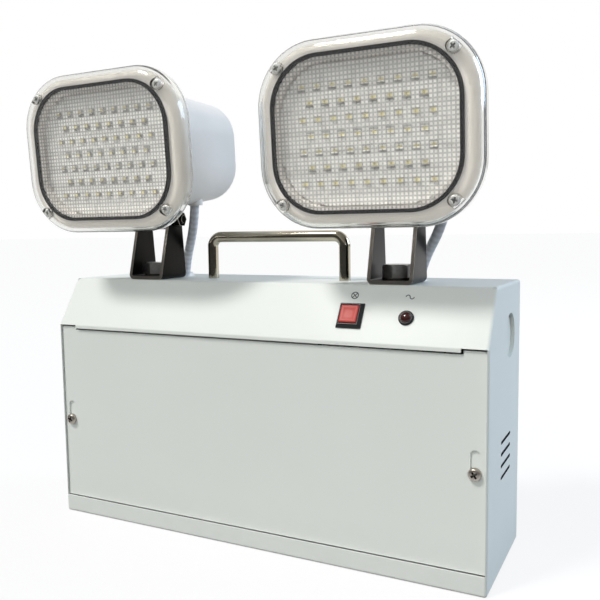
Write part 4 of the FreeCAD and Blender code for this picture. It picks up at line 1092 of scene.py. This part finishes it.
class EMERGENCYLIGHT_OT_lenses(Operator):
    """Clear lens trays, with prisms behind the window and a pocket for each screw"""
    bl_idname = "emergency_light.lenses"
    bl_label = "Lenses"
    bl_options = {"REGISTER", "UNDO"}
    looks = ("clear_plastic", "lens_window", "lens_groove")

    def execute(self, context):
        size = context.scene.emergency_light.lens
        lens = self.tray(size)
        combine(lens, self.prisms(size), "UNION")
        for tool, operation in ((self.boss(size), "UNION"), (self.pocket(size), "DIFFERENCE"),
                                (self.hole(size), "DIFFERENCE")):
            for x, z in screw_spots(size):
                spot = Matrix.Translation((x, 0, z)) @ Matrix.Rotation(-math.atan2(z, x), 4, "Y")
                combine(lens, place(copy_of(tool, "lens_tool"), spot), operation)
            bpy.data.objects.remove(tool)
        soften(lens, 28)
        for side in SIDES:
            clear = place(copy_of(lens, f"{side}_lens_clear"), on_head(side))
            fit(clear, f"{side}_head", "clear_plastic", f"{side}_lens")
        bpy.data.objects.remove(lens)
        return {"FINISHED"}

    def tray(self, size):
        """The moulding's outside, drawn forward and rounded, then given its wall."""
        tray = rounded_plate("lens_tray", size.width, size.height, size.corner, size.depth)
        push((0, -size.depth, 0))
        pick_faces(tray, lambda centre, normal: abs(normal.y) > 0.9 and centre.y < TOUCHING)
        bpy.ops.mesh.bevel(offset=size.edge, segments=10, affect="EDGES")
        pick_faces(tray, lambda centre, normal: abs(normal.y) > 0.9 and centre.y > size.depth - TOUCHING)
        bpy.ops.mesh.delete(type="FACE")
        end(tray)
        modify(tray, "SOLIDIFY", thickness=size.wall, offset=-1, use_even_offset=True)
        reopen(dress(tray, *self.looks))
        pick_faces(tray, lambda centre, normal: abs(normal.y) > 0.99 and centre.y < size.wall + 1e-5)
        assign(tray, "lens_window")
        return end(tray)

    def prisms(self, size):
        """A sheet of small flat prisms with frosted grooves between them, tinted grey as painted shade, trimmed to
        the window.
        """
        across = round(size.window_width / size.pitch)
        down = round(size.window_height / size.pitch)
        shape = (across * size.pitch, down * size.pitch, 1)
        sheet = begin("lens_prisms", bpy.ops.mesh.primitive_grid_add, shape, size=1, x_subdivisions=across,
                      y_subdivisions=down, location=(0, size.wall + PRISM_GAP, 0),
                      rotation=(-math.pi / 2, 0, 0))
        bpy.ops.mesh.select_mode(type="FACE")
        groove = (size.pitch - size.prism_top) / 2
        bpy.ops.mesh.inset(thickness=groove, depth=size.prism, use_individual=True)
        dress(sheet, *self.looks)
        # The grooves get a grey tint: painted shade between the prisms
        for look in ("lens_window", "lens_groove"):
            assign(sheet, look)
            bpy.ops.mesh.select_all(action="INVERT")
        bpy.ops.mesh.select_mode(type="EDGE")
        bpy.ops.mesh.select_all(action="DESELECT")
        bpy.ops.mesh.select_non_manifold(use_wire=False, use_multi_face=False, use_non_contiguous=False,
                                         use_verts=False)
        push((0, -size.wall / 2, 0))
        bpy.ops.mesh.edge_face_add()
        end(sheet)
        outline = rounded_plate("window", size.window_width, size.window_height, size.window_corner, 0)
        push((0, size.depth, 0))
        return combine(sheet, end(outline), "INTERSECT")

    def boss(self, size):
        low, high = size.wall, size.seat
        boss = begin("screw_boss", bpy.ops.mesh.primitive_cylinder_add, vertices=32, radius=size.boss,
                     depth=high - low, location=(0, (low + high) / 2, 0), rotation=FRONT)
        return end(boss)

    def pocket(self, size):
        """A channel round a screw, round at its inner end and open at the lens's corner."""
        reach = math.hypot(size.width, size.height) / 2 - math.hypot(size.screw_x, size.screw_z)
        shape = (reach + size.pocket, 2 * size.pocket, 1)
        pocket = begin("screw_pocket", bpy.ops.mesh.primitive_plane_add, shape, size=1,
                       location=((reach - size.pocket) / 2, -OVERCUT, 0), rotation=FRONT)
        pick_vertices(pocket, lambda spot: spot.x < 0)
        bpy.ops.mesh.bevel(offset=size.pocket * NEARLY_ROUND, affect="VERTICES", segments=10)
        bpy.ops.mesh.select_all(action="SELECT")
        push((0, OVERCUT + size.pocket_depth, 0))
        return end(pocket)

    def hole(self, size):
        hole = begin("screw_hole", bpy.ops.mesh.primitive_cylinder_add, vertices=24,
                     radius=size.screw_shank + HOLE_GAP, depth=2 * size.depth, rotation=FRONT)
        return end(hole)


class EMERGENCYLIGHT_OT_lens_screws(Operator):
    """Pale zinc screws in the corners of each lens"""
    bl_idname = "emergency_light.lens_screws"
    bl_label = "Lens screws"
    bl_options = {"REGISTER", "UNDO"}

    def execute(self, context):
        size = context.scene.emergency_light.lens
        screw = cross_screw("lens_screw", size.screw_head, size.screw_tall, size.screw_shank,
                            size.screw_reach, ("pale_zinc", "plated_steel"))
        top = size.pocket_depth - size.screw_tall
        for side in SIDES:
            copies = []
            for (x, z), turn in zip(screw_spots(size), LENS_SCREW_TURNS):
                spot = Matrix.Translation((x, top, z)) @ Matrix.Rotation(turn, 4, "Y")
                copies.append(place(copy_of(screw, "lens_screw_copy"), on_head(side) @ spot))
            screws = join(f"{side}_lens_screws_cross", copies)
            fit(screws, f"{side}_head", "plated_steel", f"{side}_lens_screws")
        bpy.data.objects.remove(screw)
        return {"FINISHED"}


class EMERGENCYLIGHT_OT_seals(Operator):
    """Grooved black seals between the lenses and the housings"""
    bl_idname = "emergency_light.seals"
    bl_label = "Seals"
    bl_options = {"REGISTER", "UNDO"}

    def execute(self, context):
        size = context.scene.emergency_light.lens
        band = size.seal_band
        front = size.wall + SEAL_GAP
        seal = rounded_plate("seal", size.window_width + 2 * band, size.window_height + 2 * band,
                             size.window_corner + band, size.seat)
        bpy.ops.mesh.inset(thickness=band)
        bpy.ops.mesh.delete(type="FACE")
        bpy.ops.mesh.select_all(action="SELECT")
        push((0, front - size.seat, 0))
        bpy.ops.mesh.inset(thickness=band * GROOVE_IN)
        bpy.ops.mesh.inset(thickness=band * GROOVE_SIDE, depth=-size.groove)
        end(seal, 35)
        for side in SIDES:
            grooved = place(copy_of(seal, f"{side}_seal_grooved"), on_head(side))
            fit(grooved, f"{side}_head", "seal_rubber", f"{side}_seal")
        bpy.data.objects.remove(seal)
        return {"FINISHED"}


class EMERGENCYLIGHT_OT_lamps(Operator):
    """Lamp boards, and rows of white lamps with yellow phosphor faces on grey pads that are darkened as painted
    shade round each lamp
    """
    bl_idname = "emergency_light.lamps"
    bl_label = "Lamps"
    bl_options = {"REGISTER", "UNDO"}

    def execute(self, context):
        size = context.scene.emergency_light.lamp
        lamp = self.lamp(size)
        spots = []
        for row in range(size.rows):
            count = size.columns - row % 2
            z = (row - (size.rows - 1) / 2) * size.down
            spots += [((column - (count - 1) / 2) * size.across, size.board, z) for column in range(count)]
        for side in SIDES:
            head = on_head(side)
            copies = [place(copy_of(lamp, "lamp_copy"), head @ Matrix.Translation(spot)) for spot in spots]
            lamps = join(f"{side}_lamps", copies)
            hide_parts(f"{side}_led_chips")
            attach(lamps, f"{side}_head")
            skin(f"{side}_led_board")
        bpy.data.objects.remove(lamp)
        return {"FINISHED"}

    def lamp(self, size):
        """One lamp that faces the front, its back at the origin."""
        shape = (size.width + 2 * size.pad, size.pad_thick, size.height + 2 * size.pad)
        lamp = begin("lamp", bpy.ops.mesh.primitive_cube_add, shape, size=1,
                     location=(0, -size.pad_thick / 2, 0))
        # The pad ring round the lamp is grey: a real pad, darkened as painted shade
        dress(lamp, "lamp_pad", "lamp_body", "lamp_phosphor")
        pick_faces(lamp, facing(AHEAD))
        bpy.ops.mesh.inset(thickness=size.pad)
        push((0, size.pad_thick - size.thick, 0))
        over = -size.pad_thick - TOUCHING
        pick_faces(lamp, lambda centre, normal: centre.y < over)
        assign(lamp, "lamp_body")
        pick_faces(lamp, lambda centre, normal: normal.y < -0.9 and centre.y < over)
        bpy.ops.mesh.inset(thickness=size.border)
        bpy.ops.mesh.inset(thickness=size.border / 2, depth=-size.border)
        assign(lamp, "lamp_phosphor")
        return end(lamp)


class EMERGENCYLIGHT_OT_inside(Operator):
    """Finishes of the fixings, battery, transformer and charger inside the case"""
    bl_idname = "emergency_light.inside"
    bl_label = "Inside"
    bl_options = {"REGISTER", "UNDO"}

    def execute(self, context):
        for node in frame["nodes"].values():
            if not node.hide_render:
                for slot in node.material_slots:
                    slot.material = finish(SLOT_OF[node.name])
        return {"FINISHED"}


class EMERGENCYLIGHT_OT_stage(Operator):
    """Camera, pale floor and soft studio light"""
    bl_idname = "emergency_light.stage"
    bl_label = "Stage"
    bl_options = {"REGISTER", "UNDO"}

    def execute(self, context):
        stage = context.scene.emergency_light.stage
        self.camera(context, stage)
        self.floor(stage)
        self.world(context, stage)
        key = self.light("key", "SUN", stage.key, stage.key_colour)
        key.data.angle = stage.key_width
        key.rotation_euler = (stage.key_fall, 0, stage.key_turn)
        fill = self.light("fill", "AREA", stage.fill, stage.fill_colour)
        fill.data.size = stage.fill_size
        aim = (stage.fill_target - stage.fill_place).to_track_quat("-Z", "Y")
        fill.matrix_world = Matrix.Translation(stage.fill_place) @ aim.to_matrix().to_4x4()
        context.scene.view_settings.view_transform = "Standard"
        return {"FINISHED"}

    def camera(self, context, stage):
        camera = bpy.data.objects.new("camera", bpy.data.cameras.new("camera"))
        camera.data.lens = stage.lens
        turn = Matrix.Rotation(stage.yaw, 4, "Z") @ Matrix.Rotation(math.pi / 2 - stage.pitch, 4, "X")
        camera.matrix_world = Matrix.Translation(stage.camera) @ turn @ Matrix.Rotation(stage.roll, 4, "Z")
        context.collection.objects.link(camera)
        context.scene.camera = camera

    def light(self, name, kind, power, rgb):
        lamp = bpy.data.objects.new(name, bpy.data.lights.new(name, kind))
        lamp.data.energy = power
        lamp.data.color = rgb
        bpy.context.collection.objects.link(lamp)
        return lamp

    def floor(self, stage):
        floor = begin("floor", bpy.ops.mesh.primitive_plane_add, size=FLOOR_SIZE)
        bpy.ops.mesh.subdivide(number_cuts=4)
        end(floor)
        material = bpy.data.materials.new("pale_floor")
        material.use_nodes = True
        nodes = Nodes(material.node_tree)
        grain = nodes.noise(scale=300.0)
        pale = nodes.blend(tone(stage.floor, 0.985), tone(stage.floor, 1.015), grain)
        depth = nodes.part(nodes.spot(), "Y")
        shown = self.shown(nodes, ((depth - FADE_FROM) / FADE_OVER).clamped())
        shade = nodes.blend(tone(stage.bounce), pale, shown)
        lit = nodes.add("ShaderNodeBsdfDiffuse", None, {"Color": shade})
        white = nodes.add("ShaderNodeEmission", None, {"Color": (1, 1, 1, 1), "Strength": 1.0})
        nodes.close(nodes.mix(lit, white, shown * stage.glow))
        floor.data.materials.append(material)

    def world(self, context, stage):
        """Light from the front, the back and all round, and a white backdrop for the eye.

        Reflections show that backdrop behind the object, and a dim room in front of it.
        """
        context.scene.world = bpy.data.worlds.new("studio")
        context.scene.world.use_nodes = True
        nodes = Nodes(context.scene.world.node_tree)
        heading = nodes.add("ShaderNodeTexCoord", output="Generated")
        depth = nodes.part(heading, "Y")
        height = nodes.part(heading, "Z")
        behind = depth.ramp(slope=1.6, start=0.4) * height.ramp(slope=2.5, start=0.25)
        pale = (behind + nodes.ray("Camera") + nodes.ray("Transmission")).clamped()
        overhead = height.ramp(slope=1.4, start=-0.1)
        room = nodes.blend(tone(stage.room, 0.3), tone(stage.room, 3.0), overhead)
        wide = (depth * -stage.front).math("MAXIMUM", depth * stage.rear) * (1.0 - height)
        cool = self.background(nodes, tone(stage.cool), stage.ambient)
        warm = self.background(nodes, tone(stage.warm), wide)
        lit = nodes.add("ShaderNodeAddShader", None, {0: cool, 1: warm})
        seen = self.background(nodes, nodes.blend(room, (1, 1, 1, 1), pale), 1.0)
        nodes.close(nodes.mix(lit, seen, self.shown(nodes, 1.0)), "World")

    def background(self, nodes, shade, strength):
        return nodes.add("ShaderNodeBackground", None, {"Color": shade, "Strength": strength})

    def shown(self, nodes, mirrored):
        """One where the eye or clear plastic shows a surface, nought where it only lights.

        Reflections show the share that is given.
        """
        return (nodes.ray("Camera") + nodes.ray("Transmission") + nodes.ray("Glossy") * mirrored).clamped()


class EMERGENCYLIGHT_PT_pieces(Panel):
    """Lists the operators in the order they run"""
    bl_idname = "EMERGENCYLIGHT_PT_pieces"
    bl_label = "Emergency Light"
    bl_space_type = "VIEW_3D"
    bl_region_type = "UI"
    bl_category = "Emergency Light"

    def draw(self, context):
        for operator in OPERATORS:
            self.layout.operator(operator.bl_idname)


OPERATORS = (
    EMERGENCYLIGHT_OT_stage,
    EMERGENCYLIGHT_OT_leads,
    EMERGENCYLIGHT_OT_case,
    EMERGENCYLIGHT_OT_cover_screws,
    EMERGENCYLIGHT_OT_handle,
    EMERGENCYLIGHT_OT_switch,
    EMERGENCYLIGHT_OT_indicator,
    EMERGENCYLIGHT_OT_marks,
    EMERGENCYLIGHT_OT_yokes,
    EMERGENCYLIGHT_OT_housings,
    EMERGENCYLIGHT_OT_lenses,
    EMERGENCYLIGHT_OT_lens_screws,
    EMERGENCYLIGHT_OT_seals,
    EMERGENCYLIGHT_OT_lamps,
    EMERGENCYLIGHT_OT_inside,
)
CLASSES = (
    LeadSizes,
    LensSizes,
    LampSizes,
    PanelSizes,
    VentSizes,
    CoverScrewSizes,
    Colours,
    StageSettings,
    LightSettings,
    *OPERATORS,
    EMERGENCYLIGHT_PT_pieces,
)


def register():
    for cls in CLASSES:
        bpy.utils.register_class(cls)
    bpy.types.Scene.emergency_light = group(LightSettings, "Emergency light", "Sizes, colours and stage")


def unregister():
    del bpy.types.Scene.emergency_light
    for cls in reversed(CLASSES):
        bpy.utils.unregister_class(cls)


def main():
    register()
    bpy.ops.emergency_light.stage()
    bpy.ops.emergency_light.leads()
    bpy.ops.emergency_light.case()
    bpy.ops.emergency_light.cover_screws()
    bpy.ops.emergency_light.handle()
    bpy.ops.emergency_light.switch()
    bpy.ops.emergency_light.indicator()
    bpy.ops.emergency_light.marks()
    bpy.ops.emergency_light.yokes()
    bpy.ops.emergency_light.housings()
    bpy.ops.emergency_light.lenses()
    bpy.ops.emergency_light.lens_screws()
    bpy.ops.emergency_light.seals()
    bpy.ops.emergency_light.lamps()
    bpy.ops.emergency_light.inside()


if __name__ == "__main__":
    main()
